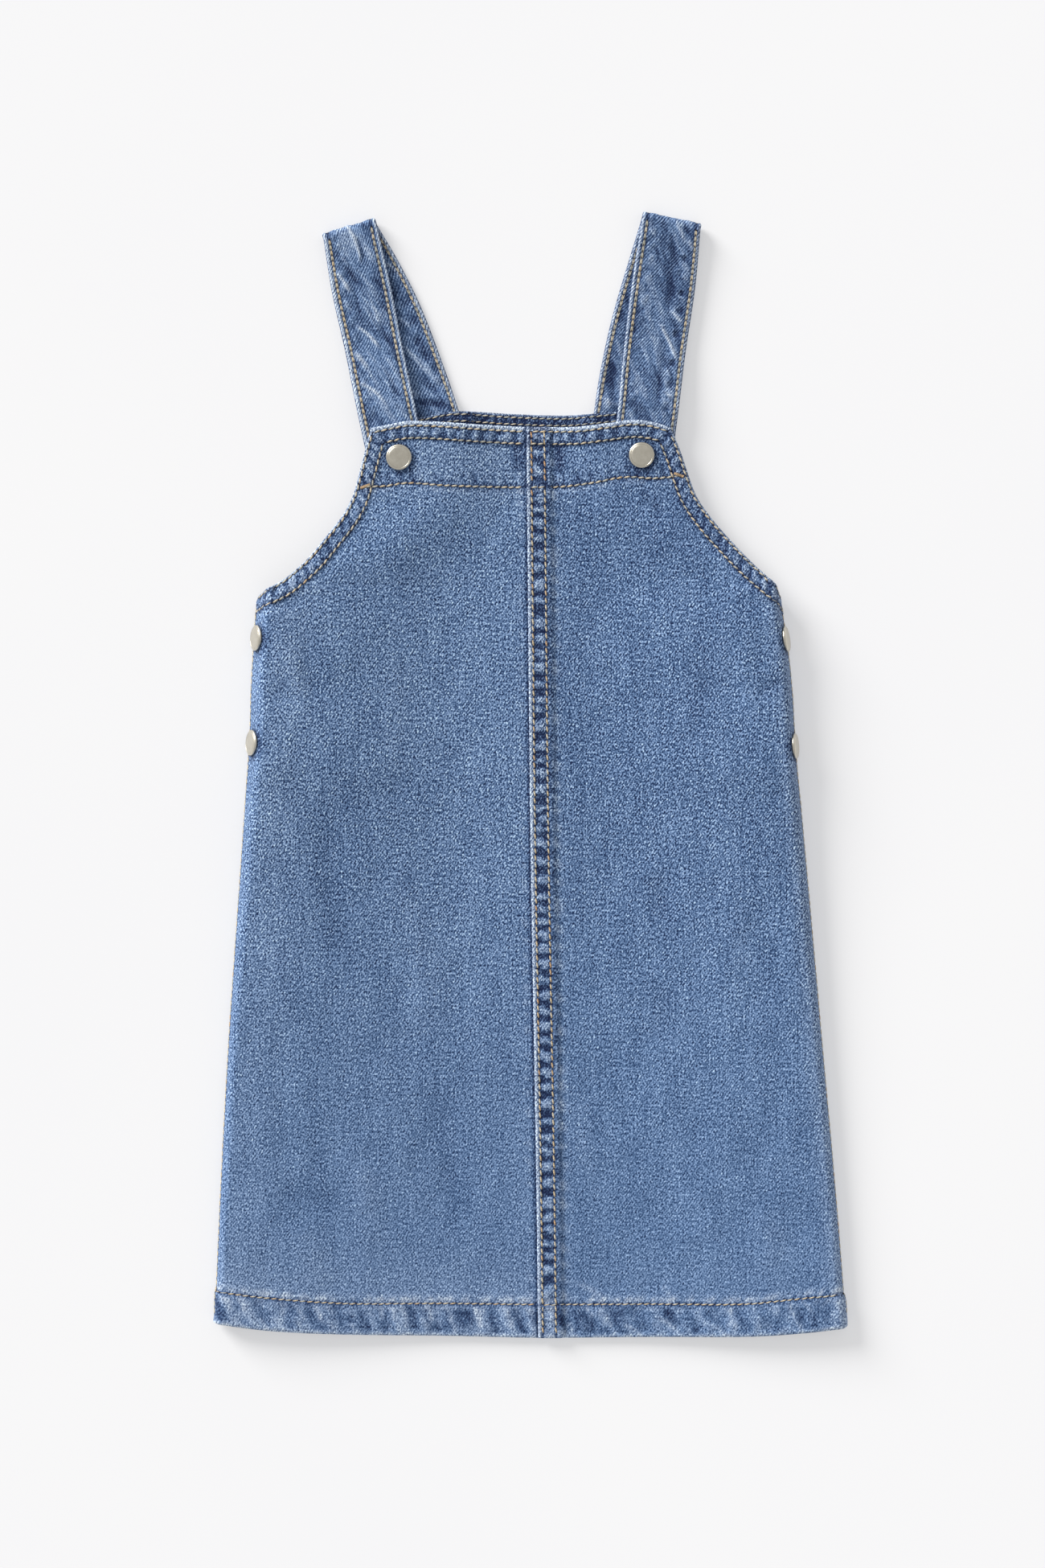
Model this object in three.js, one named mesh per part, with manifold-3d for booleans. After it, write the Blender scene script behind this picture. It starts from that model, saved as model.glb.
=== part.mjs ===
// A child's denim pinafore dress, laid flat on its back with its front up.
// Millimetres: +X to the viewer's right, +Y from hem to shoulders, +Z up from the surface it lies on.
// Every cloth piece is a wall on a middle surface, worked out from the cut and from how high the cloth lies.
import * as THREE from "three";
import { mergeVertices } from "three/addons/utils/BufferGeometryUtils.js";
import Module from "manifold-3d";

const wasm = await Module();
wasm.setup();

// Thicknesses and clearances
const CLOTH = 1.3; // one ply of denim as worn, with its nap
const FACING = 1.2;
const STRAP = 2.2; // two plies, turned and topstitched
const GAP = 0.3; // between pieces at a seam
const INSET = CLOTH + GAP; // from one ply's middle to the next one's

// Turned and felled edges
const HEM_LIFT = 0.7; // a turned hem over the single ply
const EDGE_LIFT = 0.6; // the narrower turn at armholes and bib top
const EDGE_BAND = 8; // depth of that turn
const LAP_WIDTH = 10.3; // centre seam: the right panel laps over the left
const UNDER_WIDTH = 9; // how far the left panel runs under it
const LAP_SLOPE = 2.5; // over which the lap steps down
const STEP_WIDTH = 0.8; // over which a turned edge steps down

// Side folds: the front rolls over the side and laps the back
const LAP_END_Z = 2.4; // middle of the front ply at the lap's edge
const LAP_TURN = THREE.MathUtils.degToRad(115);
const ROUND_RATIO = 1.2; // upper roll radius over the lower one
const UNDERLAP_SHARE = 0.1; // of the upper roll that the back's underlap stops short of

// Press studs
const CAP_RADIUS = 6.25;
const CAP_HEIGHT = 1.7;
const POST_RADIUS = 1.8;
const POST_HOLE_RADIUS = 2.2;
const BACK_RING_RADIUS = 4.4;
const BACK_RING_HEIGHT = 0.9;
const ROUND_SEGMENTS = 20;

const DENIM = new THREE.MeshStandardMaterial({ color: 0x637ba0, roughness: 0.92, metalness: 0 });
const DENIM_INSIDE = new THREE.MeshStandardMaterial({ color: 0x7188ab, roughness: 0.92, metalness: 0 });
const METAL = new THREE.MeshStandardMaterial({ color: 0xb9b4a8, roughness: 0.35, metalness: 0.9 });

// The two sides. tilt is how steeply the snapped side stands, from the horizontal.
const LEFT = { name: "left", sign: -1, tilt: THREE.MathUtils.degToRad(65) };
const RIGHT = { name: "right", sign: 1, tilt: THREE.MathUtils.degToRad(76) };

// Outline of the body below the armholes, and the flat stretch in the side fold
const SIDES = [
  { y: -274, left: 153.8, right: 153.8, flat: 1.3 },
  { y: -210, left: 151.0, right: 148.8, flat: 1.3 },
  { y: -132, left: 146.8, right: 141.8, flat: 2.2 },
  { y: -54, left: 141.4, right: 134.8, flat: 3.5 },
  { y: -12, left: 138.5, right: 131.0, flat: 6 },
  { y: 6, left: 137.3, right: 129.3, flat: 9 },
  { y: 24, left: 136.3, right: 128.1, flat: 9 },
  { y: 40, left: 135.9, right: 127.2, flat: 8 },
  { y: 57, left: 135.0, right: 125.5, flat: 9 },
  { y: 74, left: 133.9, right: 123.1, flat: 9 },
  { y: 87, left: 131.8, right: 120.8, flat: 7.5 },
];

// How high the front's upper face lies: at the centre seam, and at the side fold or armhole.
// from and to are the shares of the way out between which it rises.
const LEVELS = [
  { y: -274, centre: 3.1, edge: 8.6, from: 0.2, to: 1 },
  { y: -210, centre: 3.1, edge: 9.2, from: 0.2, to: 1 },
  { y: -132, centre: 3.2, edge: 10.3, from: 0.2, to: 1 },
  { y: -54, centre: 3.3, edge: 12.4, from: 0.2, to: 1 },
  { y: -12, centre: 3.4, edge: 14.4, from: 0.2, to: 1 },
  { y: 6, centre: 3.5, edge: 16.0, from: 0.2, to: 1 },
  { y: 24, centre: 3.5, edge: 16.0, from: 0.2, to: 1 },
  { y: 40, centre: 3.6, edge: 15.4, from: 0.2, to: 1 },
  { y: 57, centre: 3.6, edge: 16.0, from: 0.2, to: 1 },
  { y: 74, centre: 3.7, edge: 16.0, from: 0.2, to: 1 },
  { y: 87, centre: 3.8, edge: 14.6, from: 0.2, to: 0.98 },
  { y: 102, centre: 4.0, edge: 11.9, from: 0.18, to: 0.86 },
  { y: 117, centre: 4.3, edge: 9.8, from: 0.14, to: 0.7 },
  { y: 130, centre: 4.6, edge: 8.6, from: 0.1, to: 0.57 },
  { y: 143, centre: 4.8, edge: 8.5, from: 0.05, to: 0.52 },
  { y: 168, centre: 4.8, edge: 9.7, from: 0.05, to: 0.52 },
  { y: 177, centre: 4.8, edge: 9.9, from: 0.05, to: 0.52 },
];

// Lower edge of the front, and the stitch line that its hem is turned to
const HEM = [
  { x: -154, edge: -265.9, line: -250.3 },
  { x: -125, edge: -269.6, line: -253.8 },
  { x: -90, edge: -271.5, line: -256.4 },
  { x: -40, edge: -272.4, line: -256.6 },
  { x: 6, edge: -273.4, line: -257.2 },
  { x: 60, edge: -272.9, line: -256.9 },
  { x: 104, edge: -272.5, line: -256.6 },
  { x: 128, edge: -270.9, line: -254.1 },
  { x: 154, edge: -268.0, line: -251.5 },
];

// Lapped edge of the centre seam
const CENTRE_SEAM = [
  { y: -274, x: 3.7 },
  { y: -190, x: 2.7 },
  { y: -34, x: 0 },
  { y: 83, x: -1.2 },
  { y: 175, x: -2.0 },
];

// Armholes: distance out from the middle, unrolled along the cloth past the start of the side fold
const ARMHOLES = [
  { y: 85.8, left: 140.4, right: 131.7 },
  { y: 88.4, left: 131.0, right: 124.4 },
  { y: 93.7, left: 120.3, right: 116.9 },
  { y: 99.6, left: 113.0, right: 110.3 },
  { y: 105.4, left: 107.0, right: 104.3 },
  { y: 117.0, left: 97.6, right: 93.6 },
  { y: 125.5, left: 91.1, right: 86.6 },
  { y: 134.3, left: 86.4, right: 80.7 },
  { y: 143.8, left: 83.6, right: 76.9 },
  { y: 155.0, left: 80.7, right: 73.2 },
  { y: 167.8, left: 77.3, right: 68.1 },
];

// The back's armholes are cut a little deeper
const BACK_ARMHOLES = [
  { y: 86.7, left: 126.5, right: 117.4 },
  { y: 89.7, left: 118.7, right: 112.7 },
  { y: 95.3, left: 111.4, right: 106.6 },
  { y: 102.3, left: 104.0, right: 100.0 },
  { y: 110.9, left: 96.2, right: 92.7 },
  { y: 121.3, left: 88.0, right: 84.0 },
  { y: 131.7, left: 81.9, right: 77.1 },
  { y: 143.0, left: 78.4, right: 72.4 },
  { y: 156.0, left: 75.4, right: 68.5 },
  { y: 172.0, left: 71.1, right: 64.1 },
];

const BIB_TOP = [
  { x: -77.3, y: 167.8 },
  { x: -67.9, y: 169.7 },
  { x: -58.0, y: 171.3 },
  { x: -47.0, y: 171.0 },
  { x: -26.9, y: 169.8 },
  { x: -2.0, y: 168.7 },
  { x: 20.0, y: 168.5 },
  { x: 37.1, y: 170.2 },
  { x: 50.3, y: 171.8 },
  { x: 60.0, y: 170.6 },
  { x: 68.1, y: 167.8 },
];

const BACK_TOP = [
  { x: -71.1, y: 172.0 },
  { x: -54.2, y: 173.6 },
  { x: -35.5, y: 176.7 },
  { x: -9.8, y: 175.3 },
  { x: 15.6, y: 174.5 },
  { x: 31.2, y: 175.5 },
  { x: 43.0, y: 176.5 },
  { x: 64.1, y: 172.0 },
];

// Straps: the two long edges on the way up the back and down the front. share runs along each stretch.
const STRAP_PATHS = {
  left: {
    back: [
      { share: 0, lx: -60.4, ly: 166.4, rx: -31.4, ry: 166.4 },
      { share: 0.12, lx: -64.1, ly: 177.5, rx: -35.1, ry: 177.5 },
      { share: 0.35, lx: -72.3, ly: 195.9, rx: -41.3, ry: 195.9 },
      { share: 0.65, lx: -85.1, ly: 224.6, rx: -53.2, ry: 227.1 },
      { share: 1, lx: -100.4, ly: 259.3, rx: -74.6, ry: 267.1 },
    ],
    front: [
      { share: 0, lx: -100.4, ly: 259.3, rx: -74.6, ry: 267.1 },
      { share: 0.25, lx: -96.3, ly: 233.6, rx: -67.4, ry: 235.7 },
      { share: 0.5, lx: -89.8, ly: 204.5, rx: -61.5, ry: 205.4 },
      { share: 0.75, lx: -84.2, ly: 176.8, rx: -55.4, ry: 176.8 },
      { share: 1, lx: -75.6, ly: 136.6, rx: -47.2, ry: 138.0 },
    ],
  },
  right: {
    back: [
      { share: 0, lx: 29.1, ly: 166.4, rx: 57.8, ry: 166.4 },
      { share: 0.12, lx: 31.0, ly: 177.5, rx: 59.8, ry: 177.5 },
      { share: 0.35, lx: 33.9, ly: 195.9, rx: 64.4, ry: 194.1 },
      { share: 0.65, lx: 40.3, ly: 224.5, rx: 71.5, ry: 221.9 },
      { share: 1, lx: 54.0, ly: 270.2, rx: 82.4, ry: 264.1 },
    ],
    front: [
      { share: 0, lx: 54.0, ly: 270.2, rx: 82.4, ry: 264.1 },
      { share: 0.25, lx: 48.9, ly: 237.5, rx: 79.9, ry: 236.2 },
      { share: 0.5, lx: 44.8, ly: 205.0, rx: 75.2, ry: 204.5 },
      { share: 0.75, lx: 42.2, ly: 177.7, rx: 71.8, ry: 177.2 },
      { share: 1, lx: 37.6, ly: 138.4, rx: 66.5, ry: 136.6 },
    ],
  },
};
const STRAP_FOLD_RADIUS = 2.2; // of the strap's middle at the shoulder
const STRAP_BASE_Z = CLOTH + GAP + STRAP / 2; // tucked in between the back and its facing
const STRAP_DROP = { from: 178.5, to: 189 }; // leaves the back's edge and lies down
// Height of a strap's front stretch: off the shoulder fold, down on its back stretch, up to the bib's edge
const STRAP_FRONT = [
  { y: 178, z: 7.3 },
  { y: 196, z: 5.4 },
  { y: 215, z: 3.8 },
  { y: 240, z: 4.1 },
  { y: 262, z: 5.4 },
];

// The back's facing, and how it rises over the strap ends
const FACING_BOTTOM_Y = 139;
const FACING_SET_BACK = 0.5; // behind the back's own edge
const FACING_ENDS = { top: { left: -69.3, right: 62.4 }, bottom: { left: -74.5, right: 68.5 } };
const STRAP_BASES = [
  { left: -76, right: -29.9 },
  { left: 27.3, right: 70 },
];
const BASE_RISE = 4.5; // distance over which the facing climbs beside a strap
const BASE_RISE_Y = { from: 157, to: 164.5 };

// Press stud places
const FRONT_STUDS = [
  { name: "front_left", side: LEFT, x: -63.8, y: 153.8 },
  { name: "front_right", side: RIGHT, x: 53.8, y: 154.8 },
];
const SIDE_STUDS = [
  { name: "side_left_upper", side: LEFT, y: 66.1 },
  { name: "side_left_lower", side: LEFT, y: 15.4 },
  { name: "side_right_upper", side: RIGHT, y: 65.5 },
  { name: "side_right_lower", side: RIGHT, y: 13.8 },
];

// Rows of points up a body panel. Above SPLIT_Y only the bib goes on.
const SPLIT_Y = 102;
const BODY_ROWS = [-221, -178, -134, -91, -54, -30, -12, -2, 6, 15, 24, 32, 40, 48, 57, 66, 74];
const BIB_ROWS = [0.1, 0.21, 0.32, 0.44, 0.55, 0.65, 0.77];
const FRONT_TOP_ROWS = [0.866, 0.886]; // either side of the step at the turned bib top
const BACK_TOP_ROWS = [0.88];
// Columns across a panel, as shares of the way out to where the armhole starts
const FRONT_SHARES = [0.2, 0.4, 0.6, 0.78, 0.882, 0.9]; // the last two either side of the armhole's step
const BACK_SHARES = [0.25, 0.5, 0.75, 1];
const UPPER_ROLL_SHARES = [0.25, 0.5, 0.75, 1];
const LOWER_ROLL_SHARES = [0.34, 0.67, 1];
const FACING_ROWS = [0, 0.25, 0.48, 0.56, 0.62, 0.69, 0.84, 1];
const FACING_COLUMNS = [0, 0.07, 0.15, 0.24, 0.3, 0.315, 0.33, 0.35, 0.42, 0.5, 0.6];
FACING_COLUMNS.push(0.69, 0.705, 0.72, 0.735, 0.8, 0.9, 1);
const STRAP_COLUMNS = [0, 0.12, 0.5, 0.88, 1];
const STRAP_BACK_ROWS = [0, 0.06, 0.125, 0.16, 0.2, 0.24, 0.28, 0.4, 0.55, 0.7, 0.85];
const STRAP_FRONT_ROWS = [0.15, 0.3, 0.45, 0.52, 0.6, 0.68, 0.76, 0.84, 0.92, 1];
const STRAP_FOLD_TURNS = 8;
const BACK_HEM_SHORTER = 1.2; // the back's hem lies just behind the front's

const { cos, sin, hypot, abs } = Math;
const mix = THREE.MathUtils.lerp;
const ease = (low, high, v) => THREE.MathUtils.smoothstep(v, low, high);

// A smooth value of one column of a table, at a place between its rows.
function smooth(rows, along, column, at) {
  const last = rows.length - 1;
  if (at <= rows[0][along]) return rows[0][column];
  if (at >= rows[last][along]) return rows[last][column];
  const slope = (a, b) => (rows[b][column] - rows[a][column]) / (rows[b][along] - rows[a][along]);
  const tangent = (k) => {
    if (k === 0) return slope(0, 1);
    if (k === last) return slope(last - 1, last);
    return slope(k - 1, k) * slope(k, k + 1) <= 0 ? 0 : slope(k - 1, k + 1);
  };
  const k = rows.findIndex((row) => row[along] > at) - 1;
  const span = rows[k + 1][along] - rows[k][along];
  const t = (at - rows[k][along]) / span;
  const rest = 1 - t;
  return (
    rows[k][column] * (1 + 2 * t) * rest * rest +
    rows[k + 1][column] * t * t * (1 + 2 * rest) +
    span * (tangent(k) * t * rest * rest - tangent(k + 1) * t * t * rest)
  );
}

const seamX = (y) => smooth(CENTRE_SEAM, "y", "x", y);
const hemY = (x, column) => smooth(HEM, "x", column, x);
const bibTopY = (x) => smooth(BIB_TOP, "x", "y", x);
const edgeLevel = (y) => smooth(LEVELS, "y", "edge", y) - CLOTH / 2;

// The y at which an armhole table reaches a given distance out.
function armholeY(table, side, out) {
  let low = table[0].y;
  let high = table[table.length - 1].y;
  for (let step = 0; step < 40; step++) {
    const middle = (low + high) / 2;
    if (smooth(table, "y", side.name, middle) > out) low = middle;
    else high = middle;
  }
  return (low + high) / 2;
}

// The side fold at one height: upper roll, flat stretch and lower roll of the front ply's middle.
function foldAt(side, yAsked) {
  const y = Math.min(yAsked, SIDES[SIDES.length - 1].y);
  const flat = smooth(SIDES, "y", "flat", y);
  const top = edgeLevel(y);
  const { tilt } = side;
  const rolls = top - LAP_END_Z - flat * sin(tilt);
  const low = rolls / (ROUND_RATIO * (1 - cos(tilt)) + cos(tilt) - cos(LAP_TURN));
  const high = ROUND_RATIO * low;
  const reach = high * sin(tilt) + flat * cos(tilt) + low * (1 - sin(tilt));
  const start = smooth(SIDES, "y", side.name, y) - CLOTH / 2 - reach;
  const upper = high * tilt;
  return { tilt, flat, top, low, high, start, upper, length: upper + flat + low * (LAP_TURN - tilt) };
}

// A point of the fold, a distance q along it: out from the middle, height and how far it has turned.
function foldPoint(fold, q, inset = 0) {
  const { tilt, flat, top, low, high, start, upper } = fold;
  let out = start + high * sin(Math.min(q / high, tilt));
  let z = top - high * (1 - cos(Math.min(q / high, tilt)));
  const along = THREE.MathUtils.clamp(q - upper, 0, flat);
  out += along * cos(tilt);
  z -= along * sin(tilt);
  let turn = Math.min(q / high, tilt);
  if (q > upper + flat) {
    turn = tilt + (q - upper - flat) / low;
    out += low * (sin(turn) - sin(tilt));
    z -= low * (cos(tilt) - cos(turn));
  }
  return { out: out - inset * sin(turn), z: z - inset * cos(turn), turn };
}

// The front's middle surface. p is the distance right of the middle, unrolled past the fold.
function frontPoint(side, p, y) {
  const fold = foldAt(side, y);
  const out = p * side.sign;
  const seam = seamX(y);
  if (out > fold.start) {
    const at = foldPoint(fold, out - fold.start);
    return new THREE.Vector3(side.sign * at.out, y, at.z);
  }
  const armhole = y > ARMHOLES[0].y ? smooth(ARMHOLES, "y", side.name, y) : Infinity;
  const limit = abs(side.sign * Math.min(fold.start, armhole) - seam);
  const fromSeam = Math.max(0, side.sign * (p - seam));
  const centre = smooth(LEVELS, "y", "centre", y) - CLOTH / 2;
  const from = smooth(LEVELS, "y", "from", y);
  const to = smooth(LEVELS, "y", "to", y);
  const z = mix(centre, edgeLevel(y), ease(from, to, fromSeam / limit));
  const lap = side === RIGHT ? INSET * (1 - ease(LAP_WIDTH, LAP_WIDTH + LAP_SLOPE, fromSeam)) : 0;
  return new THREE.Vector3(p, y, z + lap);
}

// The back's middle surface: flat on the ground, then up inside the front's fold to the underlap.
function backCurl(side, y) {
  const fold = foldAt(side, y);
  const lapEnd = foldPoint(fold, fold.length, INSET);
  const rise = Math.PI - LAP_TURN;
  const radius = (lapEnd.z - CLOTH / 2) / (1 - cos(rise));
  const stop = fold.upper * UNDERLAP_SHARE;
  return { fold, rise, radius, start: lapEnd.out - radius * sin(rise), arc: radius * rise, stop };
}

function backPoint(side, p, y) {
  const curl = backCurl(side, y);
  const past = p * side.sign - curl.start;
  if (past <= 0) return new THREE.Vector3(p, y, CLOTH / 2);
  if (past <= curl.arc) {
    const turn = past / curl.radius;
    const out = curl.start + curl.radius * sin(turn);
    return new THREE.Vector3(side.sign * out, y, CLOTH / 2 + curl.radius * (1 - cos(turn)));
  }
  const at = foldPoint(curl.fold, curl.fold.length - (past - curl.arc), INSET);
  return new THREE.Vector3(side.sign * at.out, y, at.z);
}

// Columns across a panel, as functions of y. Those up to `last` run on into the bib.
function frontColumns(side) {
  const inner = side === RIGHT ? 0 : UNDER_WIDTH;
  const splitShare = smooth(ARMHOLES, "y", side.name, SPLIT_Y) / foldAt(side, SPLIT_Y).start;
  const splitP = (y) => side.sign * foldAt(side, y).start * splitShare;
  const columns = [(y) => seamX(y) + inner];
  if (side === RIGHT) columns.push((y) => seamX(y) + LAP_WIDTH, (y) => seamX(y) + LAP_WIDTH + LAP_SLOPE);
  else columns.push((y) => seamX(y) + 0.5, (y) => seamX(y) - 1);
  const from = columns[columns.length - 1];
  for (const share of FRONT_SHARES) columns.push((y) => mix(from(y), splitP(y), share));
  columns.push(splitP);
  const last = columns.length - 1;
  columns.push((y) => side.sign * foldAt(side, y).start * (splitShare + 1) * 0.5);
  const along = (y, part, share) => {
    const fold = foldAt(side, y);
    const starts = [0, fold.upper, fold.upper + fold.flat, fold.length];
    return side.sign * (fold.start + mix(starts[part], starts[part + 1], share));
  };
  columns.push((y) => side.sign * foldAt(side, y).start);
  for (const share of UPPER_ROLL_SHARES) columns.push((y) => along(y, 0, share));
  columns.push((y) => along(y, 1, 0.5), (y) => along(y, 1, 1));
  for (const share of LOWER_ROLL_SHARES) columns.push((y) => along(y, 2, share));
  return { columns, last };
}

function backColumns(side) {
  const splitShare = smooth(BACK_ARMHOLES, "y", side.name, SPLIT_Y) / backCurl(side, SPLIT_Y).start;
  const splitP = (y) => side.sign * backCurl(side, y).start * splitShare;
  const columns = [() => 0];
  for (const share of BACK_SHARES) columns.push((y) => splitP(y) * share);
  const last = columns.length - 1;
  columns.push((y) => side.sign * backCurl(side, y).start * (splitShare + 1) * 0.5);
  const along = (y, part, share) => {
    const { fold, start, arc, stop } = backCurl(side, y);
    const low = fold.length - fold.upper - fold.flat;
    const starts = [0, arc, arc + low, arc + low + fold.flat, arc + fold.length - stop];
    return side.sign * (start + mix(starts[part], starts[part + 1], share));
  };
  columns.push((y) => side.sign * backCurl(side, y).start);
  for (const share of LOWER_ROLL_SHARES) columns.push((y) => along(y, 0, share));
  for (const part of [1, 2, 3]) columns.push((y) => along(y, part, 0.5), (y) => along(y, part, 1));
  return { columns, last };
}

// A surface under construction: points on the cut (p, y), their place in space, and four-sided faces.
class Sheet {
  constructor() {
    this.cut = [];
    this.points = [];
    this.faces = [];
  }
  add(cut, point) {
    this.cut.push(cut);
    this.points.push(point);
    return this.points.length - 1;
  }
  // Joins a grid of point numbers into faces, wound so that they face up where x and y run right and up.
  join(grid, turned) {
    for (let j = 0; j + 1 < grid.length; j++) {
      for (let i = 0; i + 1 < Math.min(grid[j].length, grid[j + 1].length); i++) {
        const face = [grid[j][i], grid[j][i + 1], grid[j + 1][i + 1], grid[j + 1][i]];
        this.faces.push(turned ? face.reverse() : face);
      }
    }
  }
}

// Fills one half of a body panel: the body up to the split or the armhole, then the bib above.
function fillHalf(sheet, side, shape) {
  const { columns, last, place, armholes, topY, rowsOf, corner } = shape;
  const grid = [];
  const put = (p, y) => sheet.add({ p, y }, place(side, p, y));
  const tops = columns.map((column, i) => (i <= last ? SPLIT_Y : shape.endY(side, i, column)));
  const rowCount = rowsOf(0, tops[0], columns[0]).length;
  const heights = columns.map((column, i) => rowsOf(i, tops[i], column));
  for (let j = 0; j < rowCount; j++) {
    grid.push(columns.map((column, i) => put(column(heights[i][j]), heights[i][j])));
  }
  sheet.join(grid, side === LEFT);

  // The bib is a patch blended from its four edges.
  const bottom = columns.slice(0, last + 1).map((column) => column(SPLIT_Y));
  const inner = bottom[0];
  const outer = bottom[last];
  const topInner = columns[0](topY(columns[0](SPLIT_Y)));
  const topOuter = side.sign * smooth(armholes, "y", side.name, corner);
  const rows = [...BIB_ROWS, ...shape.topRows, 1];
  const bib = [grid[rowCount - 1].slice(0, last + 1)];
  for (const share of rows) {
    const edgeY = mix(SPLIT_Y, corner, share);
    const edge = { p: side.sign * smooth(armholes, "y", side.name, edgeY), y: edgeY };
    const middle = mix(SPLIT_Y, topY(topInner), share);
    const row = bottom.map((p, i) => {
      const f = (p - inner) / (outer - inner);
      const topP = mix(topInner, topOuter, f);
      const straightP = mix(mix(inner, outer, f), mix(topInner, topOuter, f), share);
      const straightY = mix(SPLIT_Y, mix(topY(topInner), corner, f), share);
      const alongP = mix(mix(inner, topInner, share), edge.p, f);
      const alongY = mix(middle, edge.y, f);
      const acrossP = mix(p, topP, share);
      const acrossY = mix(SPLIT_Y, topY(topP), share);
      return put(alongP + acrossP - straightP, alongY + acrossY - straightY);
    });
    bib.push(row);
  }
  sheet.join(bib, side === LEFT);
}

// Distance on the cut from a point to an armhole's edge or the bib's top, whichever is nearer.
function edgeDistance(side, { p, y }) {
  let nearest = Infinity;
  const low = ARMHOLES[0].y;
  const high = ARMHOLES[ARMHOLES.length - 1].y;
  const steps = 60;
  for (let k = 0; k <= steps; k++) {
    const at = mix(low, high, k / steps);
    const out = side.sign * smooth(ARMHOLES, "y", side.name, at);
    nearest = Math.min(nearest, hypot(p - out, y - at));
  }
  return p < BIB_TOP[0].x || p > BIB_TOP[BIB_TOP.length - 1].x ? nearest : Math.min(nearest, bibTopY(p) - y);
}

// How far the front's outer face stands up at a turned hem or edge.
function frontLift(side, cut) {
  const { p, y } = cut;
  const x = THREE.MathUtils.clamp(p, HEM[0].x, HEM[HEM.length - 1].x);
  const uncovered = side === LEFT ? 1 - ease(-1, 0.5, p - seamX(y)) : 1;
  const hem = HEM_LIFT * (1 - ease(-STEP_WIDTH / 2, STEP_WIDTH / 2, y - hemY(x, "line")));
  const edge = EDGE_LIFT * (1 - ease(EDGE_BAND, EDGE_BAND + STEP_WIDTH, edgeDistance(side, cut)));
  return uncovered * Math.max(hem, edge);
}

// Gives a sheet its thickness: both faces and the cut edges all round.
function wallGeometry(sheet, thickness, lift = () => 0) {
  const positions = new Float32Array(sheet.points.flatMap((v) => [v.x, v.y, v.z]));
  const triangles = sheet.faces.flatMap(([a, b, c, d]) => [a, b, c, a, c, d]);
  const flat = new THREE.BufferGeometry();
  flat.setAttribute("position", new THREE.BufferAttribute(positions, 3));
  flat.setIndex(triangles);
  flat.computeVertexNormals();
  const normals = flat.attributes.normal;
  const count = sheet.points.length;
  const walls = new Float32Array(count * 6);
  for (let k = 0; k < count; k++) {
    const normal = new THREE.Vector3().fromBufferAttribute(normals, k);
    const outer = sheet.points[k].clone().addScaledVector(normal, thickness / 2 + lift(sheet.cut[k]));
    const inner = sheet.points[k].clone().addScaledVector(normal, -thickness / 2);
    outer.toArray(walls, k * 3);
    inner.toArray(walls, (count + k) * 3);
  }
  const edges = new Set();
  for (const face of sheet.faces) face.forEach((a, i) => edges.add(`${a},${face[(i + 1) % 4]}`));
  const index = [...triangles];
  for (let i = 0; i < triangles.length; i += 3) {
    index.push(count + triangles[i], count + triangles[i + 2], count + triangles[i + 1]);
  }
  for (const face of sheet.faces) {
    face.forEach((a, i) => {
      const b = face[(i + 1) % 4];
      if (!edges.has(`${b},${a}`)) index.push(b, a, count + a, b, count + a, count + b);
    });
  }
  const geometry = new THREE.BufferGeometry();
  geometry.setAttribute("position", new THREE.BufferAttribute(walls, 3));
  geometry.setIndex(index);
  return geometry;
}

// Makes each pair of points at one place a single point, so that halves share their middle.
function weld(sheet) {
  const seen = new Map();
  const to = sheet.points.map((v, k) => {
    const key = v.toArray().map((c) => c.toFixed(4)).join();
    if (!seen.has(key)) seen.set(key, k);
    return seen.get(key);
  });
  sheet.faces = sheet.faces.map((face) => face.map((k) => to[k]));
  const used = [...new Set(sheet.faces.flat())];
  const renumber = new Map(used.map((k, n) => [k, n]));
  sheet.faces = sheet.faces.map((face) => face.map((k) => renumber.get(k)));
  sheet.points = used.map((k) => sheet.points[k]);
  sheet.cut = used.map((k) => sheet.cut[k]);
  return sheet;
}

// One front panel, from the centre seam round the side to the lap's edge.
function frontPanel(side) {
  const sheet = new Sheet();
  const { columns, last } = frontColumns(side);
  fillHalf(sheet, side, {
    columns,
    last,
    place: frontPoint,
    armholes: ARMHOLES,
    topY: bibTopY,
    corner: ARMHOLES[ARMHOLES.length - 1].y,
    topRows: FRONT_TOP_ROWS,
    endY: (s, i, column) => armholeY(ARMHOLES, s, abs(column(ARMHOLES[1].y))),
    rowsOf: (i, top, column) => {
      const x = THREE.MathUtils.clamp(column(HEM[0].line), HEM[0].x, HEM[HEM.length - 1].x);
      const line = hemY(x, "line");
      const band = i <= last ? EDGE_BAND : EDGE_BAND * 1.1;
      return [
        hemY(x, "edge"),
        line - STEP_WIDTH / 2,
        line + STEP_WIDTH / 2,
        ...BODY_ROWS,
        top - band - STEP_WIDTH,
        top - band,
        top,
      ];
    },
  });
  return wallGeometry(weld(sheet), CLOTH, (cut) => frontLift(side, cut));
}

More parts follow.
